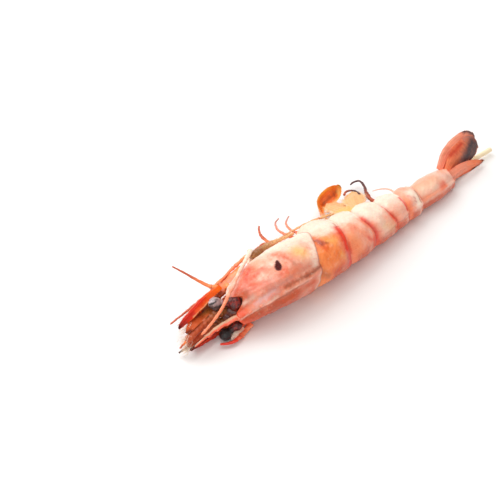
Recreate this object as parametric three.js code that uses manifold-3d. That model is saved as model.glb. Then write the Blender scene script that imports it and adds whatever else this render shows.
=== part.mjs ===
// A grilled tiger prawn in its shell, as it lies on a table: on its left flank, right flank up,
// straightened by a thin bamboo skewer. Millimetres, +Z up, head toward -X, floor at z = 0.
//
// Every piece is worked out in the prawn's own upright frame: x runs from head to tail, y to the
// prawn's right flank and z to its back. One group rolls them all onto the left flank together.
// A piece whose points stand "beside the axis" gives y and z from the body's own curved axis.
import * as THREE from 'three';
import { mergeVertices } from 'three/addons/utils/BufferGeometryUtils.js';
import Module from 'manifold-3d';

const wasm = await Module();
wasm.setup();

const { degToRad, radToDeg, lerp, clamp } = THREE.MathUtils;

// ---------------------------------------------------------------- driving dimensions
const ROLL = degToRad(64);          // how far the body is rolled over from upright
const PRESS = 0.45;                 // depth of the flat that the shell rests on
const GAP = 0.32;                   // clearance between neighbouring pieces
const TAIL_CURL = 4.4;              // how far the tail end of the axis is bent toward the belly side
const SQUARENESS = 2.25;            // exponent of the superellipse that a cross-section follows

// Half width, height of the back above the axis and depth of the belly below it, down the body.
const STATIONS = [
  { x: -78, side: 6.4, back: 7, belly: 6.8 },
  { x: -48, side: 9, back: 8, belly: 9.5 },
  { x: -34, side: 11.9, back: 12.2, belly: 13.4 },
  { x: -14, side: 13.3, back: 14.8, belly: 15 },
  { x: 0, side: 13.3, back: 15, belly: 13.8 },
  { x: 19, side: 12.3, back: 13.8, belly: 11.3 },
  { x: 37, side: 10.8, back: 12.1, belly: 9.7 },
  { x: 53, side: 9.3, back: 10.4, belly: 8.4 },
  { x: 65, side: 8.1, back: 9, belly: 7.4 },
  { x: 77, side: 7.2, back: 8, belly: 6.6 },
  { x: 91, side: 6.5, back: 7.1, belly: 5.9 },
  { x: 103, side: 5.2, back: 5.6, belly: 4.8 },
];

const SHELL = {
  rim: 0.75,            // thickness of a shell plate at its rear rim
  cuff: 3,              // depth of the hollow behind a rim
  tuck: 2,              // how far the next ring reaches into that hollow
  step: 0.7,            // drop from a rim to the ring behind it
  lastCuff: 1.5,        // depth of the hollow round the root of the tail fan
};

const CARAPACE = {
  rear: 0,              // the rear margin on the back, where x starts
  slices: 36,
  rows: 17,
  keel: 0.9,            // height of the ridge along the back
  keelWidth: degToRad(9),
  groove: 0.35,         // depth of the groove on each side of the ridge
  hollow: 0.12,         // share of the belly's depth that is hollowed between the lower margins
  lip: 1.1,             // thickness of the front margin
  mouth: 3,             // depth of the opening in front
};

// Front and rear margins of the carapace: x by the angle from the ridge of the back.
const MARGINS = [
  { angle: 0, front: -49, rear: 0 },
  { angle: 28, front: -47, rear: 0.6 },
  { angle: 48, front: -44.5, rear: 1.6 },
  { angle: 74, front: -49, rear: 3 },
  { angle: 100, front: -46, rear: 3.2 },
  { angle: 130, front: -41, rear: 0 },
  { angle: 180, front: -37, rear: -5 },
];

const ROSTRUM = {
  root: -27,            // where the crest rises from the carapace
  base: -48,            // where the blade leaves the carapace
  tip: -74,
  dip: 3.4,             // how far its top edge sinks toward the middle of the blade
  rise: 1.6,            // and climbs again to the tip
  depth: 4.4,           // height of the blade at its base
  tipDepth: 0.7,
  thick: 2.6,
  tipThick: 0.6,
  teeth: 7,
  firstTooth: -33,
  toothPitch: 5.4,
  tooth: 1,
  lowerTeeth: [-60, -66],
};

const RINGS = [
  { name: 'abdomen_1', rear: 19, pleura: 1.2, slant: 5 },
  { name: 'abdomen_2', rear: 37, pleura: 2, slant: 2.5 },
  { name: 'abdomen_3', rear: 53, pleura: 1.8, slant: 1.5 },
  { name: 'abdomen_4', rear: 65, pleura: 1.6, slant: 1 },
  { name: 'abdomen_5', rear: 77, pleura: 1.3, slant: 1 },
  { name: 'abdomen_6', rear: 103, pleura: 0.5, slant: 1 },
];
const RING_SLICES = 24;
const RING_HOLLOW = 0.1;                      // share of the belly's depth hollowed between the side flaps
const RIM_LOBE = { angle: 100, spread: 42 };  // where on the flank a rim reaches back furthest, degrees
const PLEURA = { angle: 128, spread: 17 };   // place and width of the side flaps, degrees from the back

// The smaller pieces below are placed beside the axis: [x, y to the right flank, z to the back].
const JOINT = { swell: 0.3, spread: 0.035 };   // how far a limb swells at a joint, and over what share
const EYE = { radius: 2.9 };
const EYES = {
  right: { root: [-45.5, 5, 3.6], centre: [-53, 8.6, -1.5] },
  left: { root: [-45.5, -4.6, 4], centre: [-55, -6.4, 2.2] },
};

const SCALE = { width: 7.6, rib: 1.7 };
const SCALES = {
  right: {
    path: [[-44.6, 10.8, -7.8], [-52, 11.8, -7.4], [-63, 10, -5.4], [-73.6, 6.8, -4.6]],
    across: [0.1, -0.25, 1],
  },
  left: {
    path: [[-45.4, -6.6, -5], [-54, -6.4, -3.6], [-64, -5.2, -1.6], [-74, -3.4, 0.6]],
    across: [0, 0.5, 1],
  },
};

const HEAD_LIMBS = {
  antennule_right: {
    path: [[-44, 2.4, -0.6], [-54, 3.1, -2], [-64, 3.4, -1], [-75, 2.2, 1.6]],
    radius: [2.3, 1.5],
    joints: [0.36, 0.66],
    sides: 8,
  },
  antennule_left: {
    path: [[-44, -2.6, -1], [-54, -2.2, -3], [-64, -1.8, -2.6], [-74.5, -1.7, 0]],
    radius: [2.2, 1.4],
    joints: [0.36, 0.66],
    sides: 8,
  },
  antennule_whip_right: {
    path: [[-75.4, 2.2, 1.7], [-78, 2.2, 2.6], [-80.4, 2.2, 3.8]],
    radius: [0.75, 0.4],
    steps: 5,
  },
  antennule_whip_left: {
    path: [[-74.9, -1.8, 0], [-77, -2.4, -1.4], [-78.4, -3.2, -3]],
    radius: [0.75, 0.5],
    steps: 5,
  },
  antenna_right: {
    path: [[-43.6, 9, -11.6], [-46, 10.6, -15], [-49, 15, -19], [-52, 20, -23], [-55.5, 25.2, -26.6]],
    radius: [1.15, 0.45],
    joints: [0.12],
    steps: 14,
  },
  antenna_base_right: {
    path: [[-39, 6.8, -9.6], [-43, 7.2, -9.2], [-47.4, 7, -8.4]],
    radius: [2.2, 1.7],
    steps: 5,
    sides: 8,
  },
  antenna_base_left: {
    path: [[-39, -5, -8], [-43.4, -4.6, -7.6], [-50, -4, -7]],
    radius: [2, 1.2],
    steps: 6,
    sides: 8,
  },
  maxilliped_right: {
    path: [[-34, 2.4, -9.6], [-42, 2.2, -10.2], [-52, 2.6, -8.8], [-61, 3.2, -6.4]],
    radius: [1.4, 0.6],
    joints: [0.4, 0.7],
  },
  maxilliped_left: {
    path: [[-34, -1.6, -9.8], [-42, -1.2, -10.6], [-52, -0.9, -9.4], [-60, -0.7, -7.2]],
    radius: [1.4, 0.6],
    joints: [0.4, 0.7],
  },
  maxilliped_outer_left: {
    path: [[-41, -9.6, 3.2], [-46, -10.2, 4.2], [-51, -10, 6], [-56, -9.2, 6.4], [-60.4, -7.8, 4.4]],
    radius: [1, 0.5],
    joints: [0.45],
  },
};

// Walking legs. The second one on the right lies up over the cheek; those on the left lie flat
// between the body and the floor.
const LEG = { radius: [1.1, 0.5], joints: [0.3, 0.62], steps: 12 };
const LEGS = {
  leg_1_right: {
    path: [
      [-30, 5, -13.8], [-36, 7.4, -17], [-47, 7.4, -15.4], [-60, 8, -12.8], [-73.5, 7, -12.4],
    ],
  },
  leg_2_right: {
    path: [
      [-23.6, 7.6, -13.2], [-19.4, 12.2, -16], [-21, 13.8, -12.6], [-27, 14, -8], [-36, 13.6, -2],
      [-44, 12.2, 2.4], [-50.5, 10.2, 5], [-56, 7.8, 6.2], [-63, 4.6, 5.8], [-68.5, 2.6, 5.2],
    ],
    radius: [1.15, 0.7],
    joints: [0.14, 0.62],
    steps: 26,
  },
  leg_3_right: { path: [[-20.6, 4.6, -14.6], [-17, 8, -20.6], [-29, 8.6, -18.2], [-40.5, 9, -14.6]] },
  leg_4_right: {
    path: [
      [-9.6, 5.2, -12.6], [-6, 8.4, -17.2], [-8.4, 10.4, -17.4], [-13.2, 11.6, -15.4],
      [-18.9, 12.8, -12.8],
    ],
  },
  leg_5_right: {
    path: [
      [-2.6, 5.4, -12], [-4.4, 7.8, -18], [-4, 9.2, -24.8], [-2.9, 10.4, -29.3], [-0.4, 11.2, -33.6],
      [2.3, 11.6, -36.9],
    ],
  },
};
const LEFT_LEGS = {
  count: 5,
  firstHip: -31,        // x of the front hip
  pitch: 6.2,           // from hip to hip
  hipSide: -3.6,
  lanes: [1.6, -0.8, -3],   // y that neighbouring legs keep to
  run: 17,              // how far a leg reaches forward of its hip
  drop: 4.6,            // how far it lies below the belly
};

const SWIMMER = { thick: 1.1, joints: [0.3] };
// Swimming legs. Most are flat paddles, of a width and a cup that curls their edges. Those with a
// radius at root and tip have dried to thin hooks.
const PLEOPODS = {
  pleopod_1_right: {
    path: [
      [9, 5.4, -10.6], [5.6, 8.2, -18.4], [4.9, 10.2, -24.3], [6.5, 11, -28.1], [9.6, 11.4, -32],
      [13.4, 11.6, -33.9],
    ],
    radius: [1.2, 0.5],
  },
  pleopod_1_branch_right: {
    path: [
      [12.6, 5.4, -10.6], [9.6, 9.2, -20.4], [11.8, 10.6, -26.4], [15.3, 11, -29.5],
      [18.2, 11, -31.6],
    ],
    radius: [1, 0.4],
  },
  pleopod_2_right: {
    path: [[28, 6.4, -9], [32, 10.4, -16], [39, 13, -24.5], [47, 13.6, -31], [55, 12.6, -34.5]],
    width: 10,
    cup: 3.4,
  },
  pleopod_3_right: {
    path: [[44.4, 5.6, -6.4], [46, 8.6, -9.8], [48.8, 10.2, -14.4], [53, 10.8, -20.5]],
    width: 8.4,
    cup: 0.8,
  },
  pleopod_3_branch_right: {
    path: [[39.4, 5.6, -7.4], [39.8, 8.4, -11], [40, 9, -14.5], [40.2, 9, -18]],
    width: 6,
    cup: 0.6,
  },
  pleopod_4_right: {
    path: [
      [58, 4.4, -6.4], [57.6, 6.8, -12.4], [59.4, 8.4, -16.4], [63.7, 9.6, -22.7],
      [66.1, 10.4, -29.2], [63.8, 10.6, -30.7], [60.1, 10.6, -29.8],
    ],
    radius: [1.1, 0.45],
  },
  pleopod_5_right: {
    path: [
      [70.8, 4, -5.6], [71, 6.8, -11.4], [70, 7.8, -14.3], [67.4, 8.4, -16.6], [63.6, 8.8, -17.3],
    ],
    radius: [0.9, 0.35],
  },
  pleopod_1_left: { path: [[8, -2.6, -10.6], [9, -1.6, -18], [13, -0.4, -23]], width: 5, cup: 0.6 },
  pleopod_2_left: { path: [[27, -2.6, -9], [28, -1.6, -16.4], [32, -0.4, -21.5]], width: 6, cup: 0.8 },
  pleopod_3_left: { path: [[44, -2.2, -7.6], [45, -1.4, -14.6], [49, -0.4, -19]], width: 5.4, cup: 0.8 },
  pleopod_4_left: { path: [[58, -2, -6.6], [59, -1.2, -13], [62.5, -0.2, -17]], width: 4.8, cup: 0.6 },
  pleopod_5_left: { path: [[70, -1.8, -5.8], [71, -1, -11.6], [74, -0.2, -14.6]], width: 4, cup: 0.5 },
};

const FAN = { width: 7.6, thick: 1.3 };
const TAIL_LEAVES = {
  uropod_outer_right: {
    path: [[101.8, 3, -2.2], [111, 11, -3.4], [118, 14, -2.4], [127, 14, -1.8]],
    across: [0.25, -1, 0.1],
    width: 8.4,
  },
  uropod_inner_right: {
    path: [[101.8, 3, 0.6], [112, 7.6, -0.6], [120, 9, -0.2], [129, 8.6, 0]],
    across: [0, -1, 0.06],
    width: 9,
  },
  uropod_outer_left: {
    path: [[101.8, 0.4, -3.3], [112, -0.2, -8.8], [120, -0.2, -9.6], [130, -1, -8.4]],
    across: [0, -0.44, 0.9],
  },
  uropod_inner_left: {
    path: [[101.8, -3, -0.8], [112, -3, -3], [120, -2.8, -3.4], [130.4, -3.2, -2.2]],
    across: [0, -0.44, 0.9],
    width: 6.4,
  },
};
const TELSON = {
  path: [[101.8, -1.2, 2.2], [113.4, -2.6, 2.3], [125, -4.2, 1.9]],
  width: 5.6,
  tipWidth: 0.8,
  thick: 2.4,
  tipThick: 0.9,
};
const SKEWER = { radius: 1.3, start: [95, 0.9, -1.6], end: [137.8, -1.6, -1.4] };

// ---------------------------------------------------------------- the body's axis and section
const girth = new THREE.CubicInterpolant(
  STATIONS.map((s) => s.x),
  STATIONS.flatMap((s) => [s.side, s.back, s.belly]),
  3,
);

/** Half width, back height and belly depth at x. */
function girthAt(x) {
  const [side, back, belly] = girth.evaluate(clamp(x, STATIONS[0].x, STATIONS.at(-1).x));
  return { side, back, belly };
}

/** Height of the axis over the floor: the section's reach toward the floor, less the flat. */
function axisHeight(x) {
  const { side, belly } = girthAt(x);
  const dual = SQUARENESS / (SQUARENESS - 1);
  const reach = ((Math.sin(ROLL) * side) ** dual + (Math.cos(ROLL) * belly) ** dual) ** (1 / dual);
  return reach - PRESS;
}

/** Sideways place of the axis on the floor: straight at the head, curling gently down the tail. */
function axisLean(x) {
  return TAIL_CURL * (Math.max(x, 0) / RINGS.at(-1).rear) ** 1.5;
}

/** A point beside the axis at x, y to the right flank and z to the back, in the upright frame. */
function at(x, y, z) {
  const lean = axisLean(x);
  const height = axisHeight(x);
  return new THREE.Vector3(
    x,
    y + lean * Math.cos(ROLL) + height * Math.sin(ROLL),
    z - lean * Math.sin(ROLL) + height * Math.cos(ROLL),
  );
}

/** A bell of height 1 round zero. */
function bell(distance, spread) {
  return Math.exp(-((distance / spread) ** 2));
}

/** Signed angle of slice i of n, from the ridge of the back: + on the right flank, - on the left. */
function sliceAngle(i, n) {
  const turn = (i / n) * 2 * Math.PI;
  return turn > Math.PI ? turn - 2 * Math.PI : turn;
}

/**
 * A point of the cross-section at x, `angle` radians round from the back, `inset` mm inside the shell.
 * `relief` adds to the radius of the section there.
 */
function sectionPoint(x, angle, inset = 0, relief = 0) {
  const { side, back, belly } = girthAt(x);
  const across = Math.sin(angle);
  const along = Math.cos(angle);
  const power = 2 / SQUARENESS;
  const high = along >= 0 ? back : belly;
  const y = (side - inset) * Math.sign(across) * Math.abs(across) ** power;
  const z = (high - inset) * Math.sign(along) * Math.abs(along) ** power;
  return at(x, y + relief * across, z + relief * along);
}

// ---------------------------------------------------------------- closed meshes and booleans
/** A closed body through rings of equal count, capped by fans to the middle of the end rings. */
function loft(rings) {
  const n = rings[0].length;
  const points = rings.flat();
  const middle = (ring) => ring.reduce((sum, p) => sum.add(p), new THREE.Vector3()).divideScalar(n);
  const first = points.push(middle(rings[0])) - 1;
  const last = points.push(middle(rings.at(-1))) - 1;
  const index = [];
  for (let i = 0; i < n; i += 1) {
    const j = (i + 1) % n;
    const end = (rings.length - 1) * n;
    index.push(first, j, i, last, end + i, end + j);
    for (let r = 0; r < rings.length - 1; r += 1) {
      const a = r * n;
      const b = a + n;
      index.push(a + i, a + j, b + j, a + i, b + j, b + i);
    }
  }
  const geometry = new THREE.BufferGeometry().setFromPoints(points);
  geometry.setIndex(index);
  return facingOut(geometry);
}

/** Six times the signed volume of a closed mesh. */
function signedVolume(geometry) {
  const position = geometry.getAttribute('position');
  const index = geometry.getIndex();
  const corner = (k) => new THREE.Vector3().fromBufferAttribute(position, index.getX(k));
  let sum = 0;
  for (let k = 0; k < index.count; k += 3) {
    sum += corner(k).dot(corner(k + 1).cross(corner(k + 2)));
  }
  return sum;
}

/** The same mesh, turned inside out where its faces pointed in. */
function facingOut(geometry) {
  if (signedVolume(geometry) < 0) {
    const index = geometry.getIndex();
    for (let k = 0; k < index.count; k += 3) {
      const swap = index.getX(k);
      index.setX(k, index.getX(k + 1));
      index.setX(k + 1, swap);
    }
  }
  return geometry;
}

/** A closed geometry as a solid for booleans. */
function solid(geometry) {
  const bare = geometry.clone();
  bare.deleteAttribute('normal');
  bare.deleteAttribute('uv');
  const merged = mergeVertices(bare, 1e-4);
  return new wasm.Manifold(new wasm.Mesh({
    numProp: 3,
    vertProperties: new Float32Array(merged.getAttribute('position').array),
    triVerts: new Uint32Array(merged.getIndex().array),
  }));
}

/** A solid back as a geometry. */
function geometryOf(body) {
  const mesh = body.getMesh();
  const geometry = new THREE.BufferGeometry();
  geometry.setAttribute('position', new THREE.BufferAttribute(mesh.vertProperties, 3));
  geometry.setIndex(new THREE.BufferAttribute(mesh.triVerts, 1));
  return geometry;
}

/** The floor as a solid in the upright frame. */
function floorSolid() {
  const block = new THREE.BoxGeometry(400, 200, 40);
  block.translate(0, 0, -20);
  block.applyMatrix4(new THREE.Matrix4().makeRotationX(-ROLL));
  return solid(block);
}
const floor = floorSolid();

// ---------------------------------------------------------------- carapace and rostrum
const margins = new THREE.CubicInterpolant(
  MARGINS.map((m) => degToRad(m.angle)),
  MARGINS.flatMap((m) => [m.front, m.rear]),
  2,
);

/** Height of the ridge and depth of its side grooves at an angle from the back. */
function keelRelief(angle) {
  return CARAPACE.keel * bell(angle, CARAPACE.keelWidth)
    - CARAPACE.groove * bell(Math.abs(angle) - 2.2 * CARAPACE.keelWidth, CARAPACE.keelWidth);
}

/** How far the belly between the lower margins lies inside the section. */
function bellyHollow(x, angle) {
  return CARAPACE.hollow * girthAt(x).belly * bell(Math.PI - Math.abs(angle), degToRad(34));
}

/** One ring of the carapace, `t` of the way from its front margin to its rear one. */
function carapaceRing(t, shift, inset, keel = 1) {
  return Array.from({ length: CARAPACE.slices }, (_, i) => {
    const angle = sliceAngle(i, CARAPACE.slices);
    const [front, rear] = margins.evaluate(Math.abs(angle));
    const x = lerp(front, rear, t) + shift;
    const relief = keel * keelRelief(angle) - bellyHollow(x, angle);
    return sectionPoint(x, angle, inset, relief);
  });
}

/** The carapace: front opening, flanks and the hollow rear cuff, all swollen by `swell` mm. */
function carapaceLoft(swell = 0) {
  const rings = [
    carapaceRing(0, CARAPACE.mouth - swell, CARAPACE.lip + 1 + swell, 0),
    carapaceRing(0, 0.3, CARAPACE.lip + swell, 0.4),
    carapaceRing(0, -swell, 0.3 - swell),
  ];
  for (let row = 1; row < CARAPACE.rows; row += 1) {
    const t = row / CARAPACE.rows;
    rings.push(carapaceRing(t, 0, -0.35 * Math.sin(Math.PI * t) - swell));
  }
  rings.push(
    carapaceRing(1, -0.5, -0.1 - swell),
    carapaceRing(1, 0, 0.25 - swell, 0.9),
    carapaceRing(1, -0.1, SHELL.rim, 0),
    carapaceRing(1, -SHELL.cuff, SHELL.rim, 0),
  );
  return loft(rings);
}

/** Height of a forward-leaning saw tooth edge at x, for teeth with their points at `tips`. */
function toothEdge(x, tips, length, height) {
  const tooth = tips.find((tip) => x >= tip - 1e-6 && x <= tip + length);
  return tooth === undefined ? 0 : height * (1 - (x - tooth) / length);
}

/** The crest and blade of the rostrum, with its teeth above and below. */
function rostrumLoft() {
  const upper = Array.from({ length: ROSTRUM.teeth }, (_, k) => ROSTRUM.firstTooth - k * ROSTRUM.toothPitch);
  const cuts = upper.flatMap((tip) => [tip, tip - 0.5]);
  const lower = ROSTRUM.lowerTeeth.flatMap((tip) => [tip, tip - 0.5]);
  const xs = [ROSTRUM.root, ROSTRUM.base + 2, ...cuts, ...lower, ROSTRUM.tip + 2, ROSTRUM.tip];
  xs.sort((a, b) => b - a);
  return loft(xs.map((x) => {
    const t = clamp((x - ROSTRUM.base) / (ROSTRUM.tip - ROSTRUM.base), 0, 1);
    const depth = lerp(ROSTRUM.depth, ROSTRUM.tipDepth, t ** 1.4);
    const half = lerp(ROSTRUM.thick, ROSTRUM.tipThick, t) / 2;
    const sunk = x > ROSTRUM.base ? 0.5 : 0.5 + ROSTRUM.dip * Math.sin(Math.PI * Math.min(t, 0.5));
    const ridge = girthAt(Math.max(x, ROSTRUM.base)).back + CARAPACE.keel - sunk + ROSTRUM.rise * t ** 3;
    const top = ridge + toothEdge(x, upper, ROSTRUM.toothPitch * 0.85, ROSTRUM.tooth);
    const bottom = ridge - depth - toothEdge(x, ROSTRUM.lowerTeeth, 3, ROSTRUM.tooth * 0.7);
    const belt = lerp(bottom, ridge, 0.45);
    return [
      at(x, 0, top),
      at(x, half * 0.55, ridge - depth * 0.12),
      at(x, half, belt),
      at(x, half * 0.5, bottom + depth * 0.12),
      at(x, 0, bottom),
      at(x, -half * 0.5, bottom + depth * 0.12),
      at(x, -half, belt),
      at(x, -half * 0.55, ridge - depth * 0.12),
    ];
  }));
}

/** The whole carapace with its rostrum, flattened where it rests. */
function carapace() {
  return geometryOf(solid(carapaceLoft()).add(solid(rostrumLoft())).subtract(floor));
}

// ---------------------------------------------------------------- abdomen
/** How far a rear rim lies behind its place on the back, at an angle from the back. */
function rimOffset(ring, angle) {
  if (!ring) {
    return margins.evaluate(Math.abs(angle))[1];
  }
  return ring.slant * bell(radToDeg(Math.abs(angle)) - RIM_LOBE.angle, RIM_LOBE.spread);
}

/** One cross-section of an abdominal ring, `t` of the way from the rim before it to its own. */
function ringSection(ring, before, t, shift, inset, flap) {
  return Array.from({ length: RING_SLICES }, (_, i) => {
    const angle = sliceAngle(i, RING_SLICES);
    const degrees = radToDeg(Math.abs(angle));
    const front = (before ? before.rear : CARAPACE.rear) + rimOffset(before, angle);
    const x = lerp(front, ring.rear + rimOffset(ring, angle), t) + shift;
    const lobe = flap * ring.pleura * bell(degrees - PLEURA.angle, PLEURA.spread);
    const hollow = RING_HOLLOW * girthAt(x).belly * bell(180 - degrees, 30);
    return sectionPoint(x, angle, inset, lobe - hollow);
  });
}

/** An abdominal ring: tucked front neck, plate with side flaps and hollow rear cuff, swollen by `swell`. */
function ringLoft(ring, before, swell = 0) {
  const throat = SHELL.rim + GAP;
  const cuff = ring === RINGS.at(-1) ? SHELL.lastCuff : SHELL.cuff;
  const section = (t, shift, inset, flap) => ringSection(ring, before, t, shift, inset - swell, flap);
  return loft([
    section(0, -SHELL.tuck, throat + 0.6, 0),
    section(0, 0.5 - SHELL.tuck, throat, 0),
    section(0, GAP, throat, 0),
    section(0.12, GAP, SHELL.step, 0.55),
    section(0.34, 0, 0.2, 1),
    section(0.6, 0, 0, 1),
    section(0.84, 0, -0.1, 0.8),
    section(1, -0.4, -0.05, 0.45),
    section(1, swell, 0.25, 0.25),
    section(1, swell - 0.1, SHELL.rim + 2 * swell, 0),
    section(1, swell - cuff, SHELL.rim + 2 * swell, 0),
  ]);
}

/** The room that every limb leaves round the carapace and the abdomen. */
const bodyRoom = RINGS.reduce(
  (room, ring, i) => room.add(solid(ringLoft(ring, RINGS[i - 1], GAP))),
  solid(carapaceLoft(GAP)),
);

// ---------------------------------------------------------------- limbs and blades
/** A piece cut back where it meets the floor and the body that carries it, without loose scraps. */
function clearOfBody(body) {
  const pieces = body.subtract(floor).subtract(bodyRoom).decompose();
  return geometryOf(pieces.reduce((most, next) => (next.volume() > most.volume() ? next : most)));
}

/** A smooth curve through points given beside the axis. */
function pathOf(points) {
  return new THREE.CatmullRomCurve3(points.map(([x, y, z]) => at(x, y, z)), false, 'centripetal');
}

/**
 * A tapering limb along a path, `radius` mm at its root and tip, swollen at its joints, which are
 * given as shares of its length.
 */
function limb({ path, radius: [root, tip], joints = [], steps = 12, sides = 6 }) {
  const curve = pathOf(path);
  const frames = curve.computeFrenetFrames(steps);
  const rings = [];
  for (let i = 0; i <= steps; i += 1) {
    const t = i / steps;
    const swell = joints.reduce((sum, joint) => sum + JOINT.swell * bell(t - joint, JOINT.spread), 0);
    const end = i === 0 || i === steps ? 0.55 : 1;
    const radius = end * lerp(root, tip, t) * (1 + swell);
    const centre = curve.getPointAt(t);
    rings.push(Array.from({ length: sides }, (_, k) => {
      const angle = (k / sides) * 2 * Math.PI;
      return centre.clone()
        .addScaledVector(frames.normals[i], radius * Math.cos(angle))
        .addScaledVector(frames.binormals[i], radius * Math.sin(angle));
    }));
  }
  return loft(rings);
}

/**
 * A thin leaf along a path: `width` and `thick` are functions of the share of its length, `across`
 * is the direction of its width and `cup` bends its edges out of its plane.
 */
function blade({ path, across, width, thick, cup = () => 0, steps = 10, sides = 12 }) {
  const curve = pathOf(path);
  const rings = [];
  for (let i = 0; i <= steps; i += 1) {
    const t = i / steps;
    const centre = curve.getPointAt(t);
    const tangent = curve.getTangentAt(t);
    const normal = tangent.clone().cross(new THREE.Vector3(...across)).normalize();
    const wide = normal.clone().cross(tangent);
    rings.push(Array.from({ length: sides }, (_, k) => {
      const angle = ((k + 0.5) / sides) * 2 * Math.PI;
      const c = Math.cos(angle);
      return centre.clone()
        .addScaledVector(wide, (width(t) / 2) * c)
        .addScaledVector(normal, (thick(t) / 2) * Math.sin(angle) + cup(t) * c * c);
    }));
  }
  return loft(rings);
}

/** Width of a paddle that swells from its root and rounds off at its tip. */
function paddle(root, widest, peak = 0.6, tip = 0.25) {
  return (t) => {
    const rise = lerp(root, widest, Math.sin((Math.PI / 2) * Math.min(t / peak, 1)));
    const fall = t > peak ? Math.sqrt(Math.max(1 - ((t - peak) / (1 - peak)) ** 2.4, tip * tip)) : 1;
    return rise * fall;
  };
}

// ---------------------------------------------------------------- head
/** An eye: a stalk from the orbit that ends in a round cornea. */
function eye({ root, centre }) {
  const stalk = limb({ path: [root, centre], radius: [1.9, 2.5], steps: 4, sides: 8 });
  const cornea = new THREE.SphereGeometry(EYE.radius, 12, 8);
  cornea.scale(1, 1, 0.94);
  cornea.translate(...at(...centre).toArray());
  return clearOfBody(solid(stalk).add(solid(cornea)));
}

/** An antennal scale: a stiff outer rib that carries a thin leaf. */
function antennalScale({ path, across }) {
  return clearOfBody(solid(blade({
    path,
    across,
    width: paddle(3.4, SCALE.width, 0.45, 0.12),
    thick: (t) => lerp(SCALE.rib, 0.8, t),
    steps: 10,
    sides: 10,
  })));
}

// ---------------------------------------------------------------- walking legs
/** A left walking leg, folded forward flat on the floor in its own lane. */
function leftLeg(k) {
  const { firstHip, pitch, hipSide, lanes, run, drop } = LEFT_LEGS;
  const hip = firstHip + k * pitch;
  const lane = lanes[k % lanes.length];
  const under = (x) => -girthAt(x).belly;
  const path = [
    [hip, hipSide, under(hip) * (1 - CARAPACE.hollow) + 1],
    [hip - 1, lerp(hipSide, lane, 0.75), under(hip) - 0.3 * drop],
    [hip - 0.28 * run, lane, under(hip) - 0.8 * drop],
    [hip - 0.6 * run, lane, under(hip - 0.6 * run) - drop],
    [hip - run, lane, under(hip - run) - 0.6 * drop],
  ];
  return limb({ ...LEG, path });
}

// ---------------------------------------------------------------- swimming legs
/** A swimming leg: a thin hook where it has a radius, otherwise a stalk that widens to a curled paddle. */
function pleopod({ path, radius, width, cup }) {
  if (radius) {
    return clearOfBody(solid(limb({ path, radius, joints: SWIMMER.joints })));
  }
  return clearOfBody(solid(blade({
    path,
    across: [1, 0, 0.1],
    width: paddle(2.2, width, 0.55, 0.25),
    thick: (t) => lerp(SWIMMER.thick * 1.5, SWIMMER.thick, t),
    cup: (t) => cup * t,
    steps: 8,
    sides: 8,
  })));
}

// ---------------------------------------------------------------- tail
/** One leaf of the tail fan. */
function fanLeaf({ path, across, width = FAN.width, cup = 0.5 }) {
  return clearOfBody(solid(blade({
    path,
    across,
    width: paddle(2.6, width, 0.62, 0.3),
    thick: (t) => lerp(FAN.thick, FAN.thick * 0.55, t),
    cup: () => cup,
    steps: 9,
    sides: 12,
  })));
}

/** The telson: a pointed, slightly ridged plate in line with the back. */
function telson() {
  return clearOfBody(solid(blade({
    path: TELSON.path,
    across: [0, -1, 0],
    width: (t) => lerp(TELSON.width, TELSON.tipWidth, t ** 1.3),
    thick: (t) => lerp(TELSON.thick, TELSON.tipThick, t),
    steps: 8,
    sides: 10,
  })));
}

/** The straight stick that keeps the body stretched, from inside the last ring to its cut end. */
function skewer(radius, from) {
  const start = at(from, SKEWER.start[1], SKEWER.start[2]);
  const end = at(...SKEWER.end);
  const stick = new THREE.CylinderGeometry(radius, radius, start.distanceTo(end), 14);
  const along = end.clone().sub(start).normalize();
  stick.applyQuaternion(new THREE.Quaternion().setFromUnitVectors(new THREE.Vector3(0, 1, 0), along));
  const middle = start.add(end).multiplyScalar(0.5);
  stick.translate(middle.x, middle.y, middle.z);
  return stick;
}

// ---------------------------------------------------------------- the prawn
const SHELL_PINK = new THREE.MeshStandardMaterial({ color: 0xe69682, roughness: 0.4 });
const SHELL_SALMON = new THREE.MeshStandardMaterial({ color: 0xf08c64, roughness: 0.4 });
const SCALE_RED = new THREE.MeshStandardMaterial({ color: 0xe1451a, roughness: 0.4 });
const STALK_BROWN = new THREE.MeshStandardMaterial({ color: 0x96461e, roughness: 0.5 });
const EYE_DARK = new THREE.MeshStandardMaterial({ color: 0x2d2828, roughness: 0.25 });
const LEG_CREAM = new THREE.MeshStandardMaterial({ color: 0xf0b48c, roughness: 0.5 });
const FAN_SALMON = new THREE.MeshStandardMaterial({ color: 0xd77055, roughness: 0.45 });
const SWIMMER_ORANGE = new THREE.MeshStandardMaterial({ color: 0xf09633, roughness: 0.5 });
const BAMBOO = new THREE.MeshStandardMaterial({ color: 0xf5d8ab, roughness: 0.7 });

const prawn = new THREE.Group();
prawn.rotation.x = ROLL;

/** Adds one named piece. */
function piece(name, geometry, material) {
  const mesh = new THREE.Mesh(geometry, material.clone());
  mesh.name = name;
  prawn.add(mesh);
  return mesh;
}

piece('carapace', carapace(), SHELL_PINK);
const bore = skewer(SKEWER.radius + GAP, SKEWER.start[0] - GAP);
RINGS.forEach((ring, i) => {
  const shell = solid(ringLoft(ring, RINGS[i - 1])).subtract(floor);
  const last = ring === RINGS.at(-1);
  piece(ring.name, geometryOf(last ? shell.subtract(solid(bore)) : shell), SHELL_SALMON);
});

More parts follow.
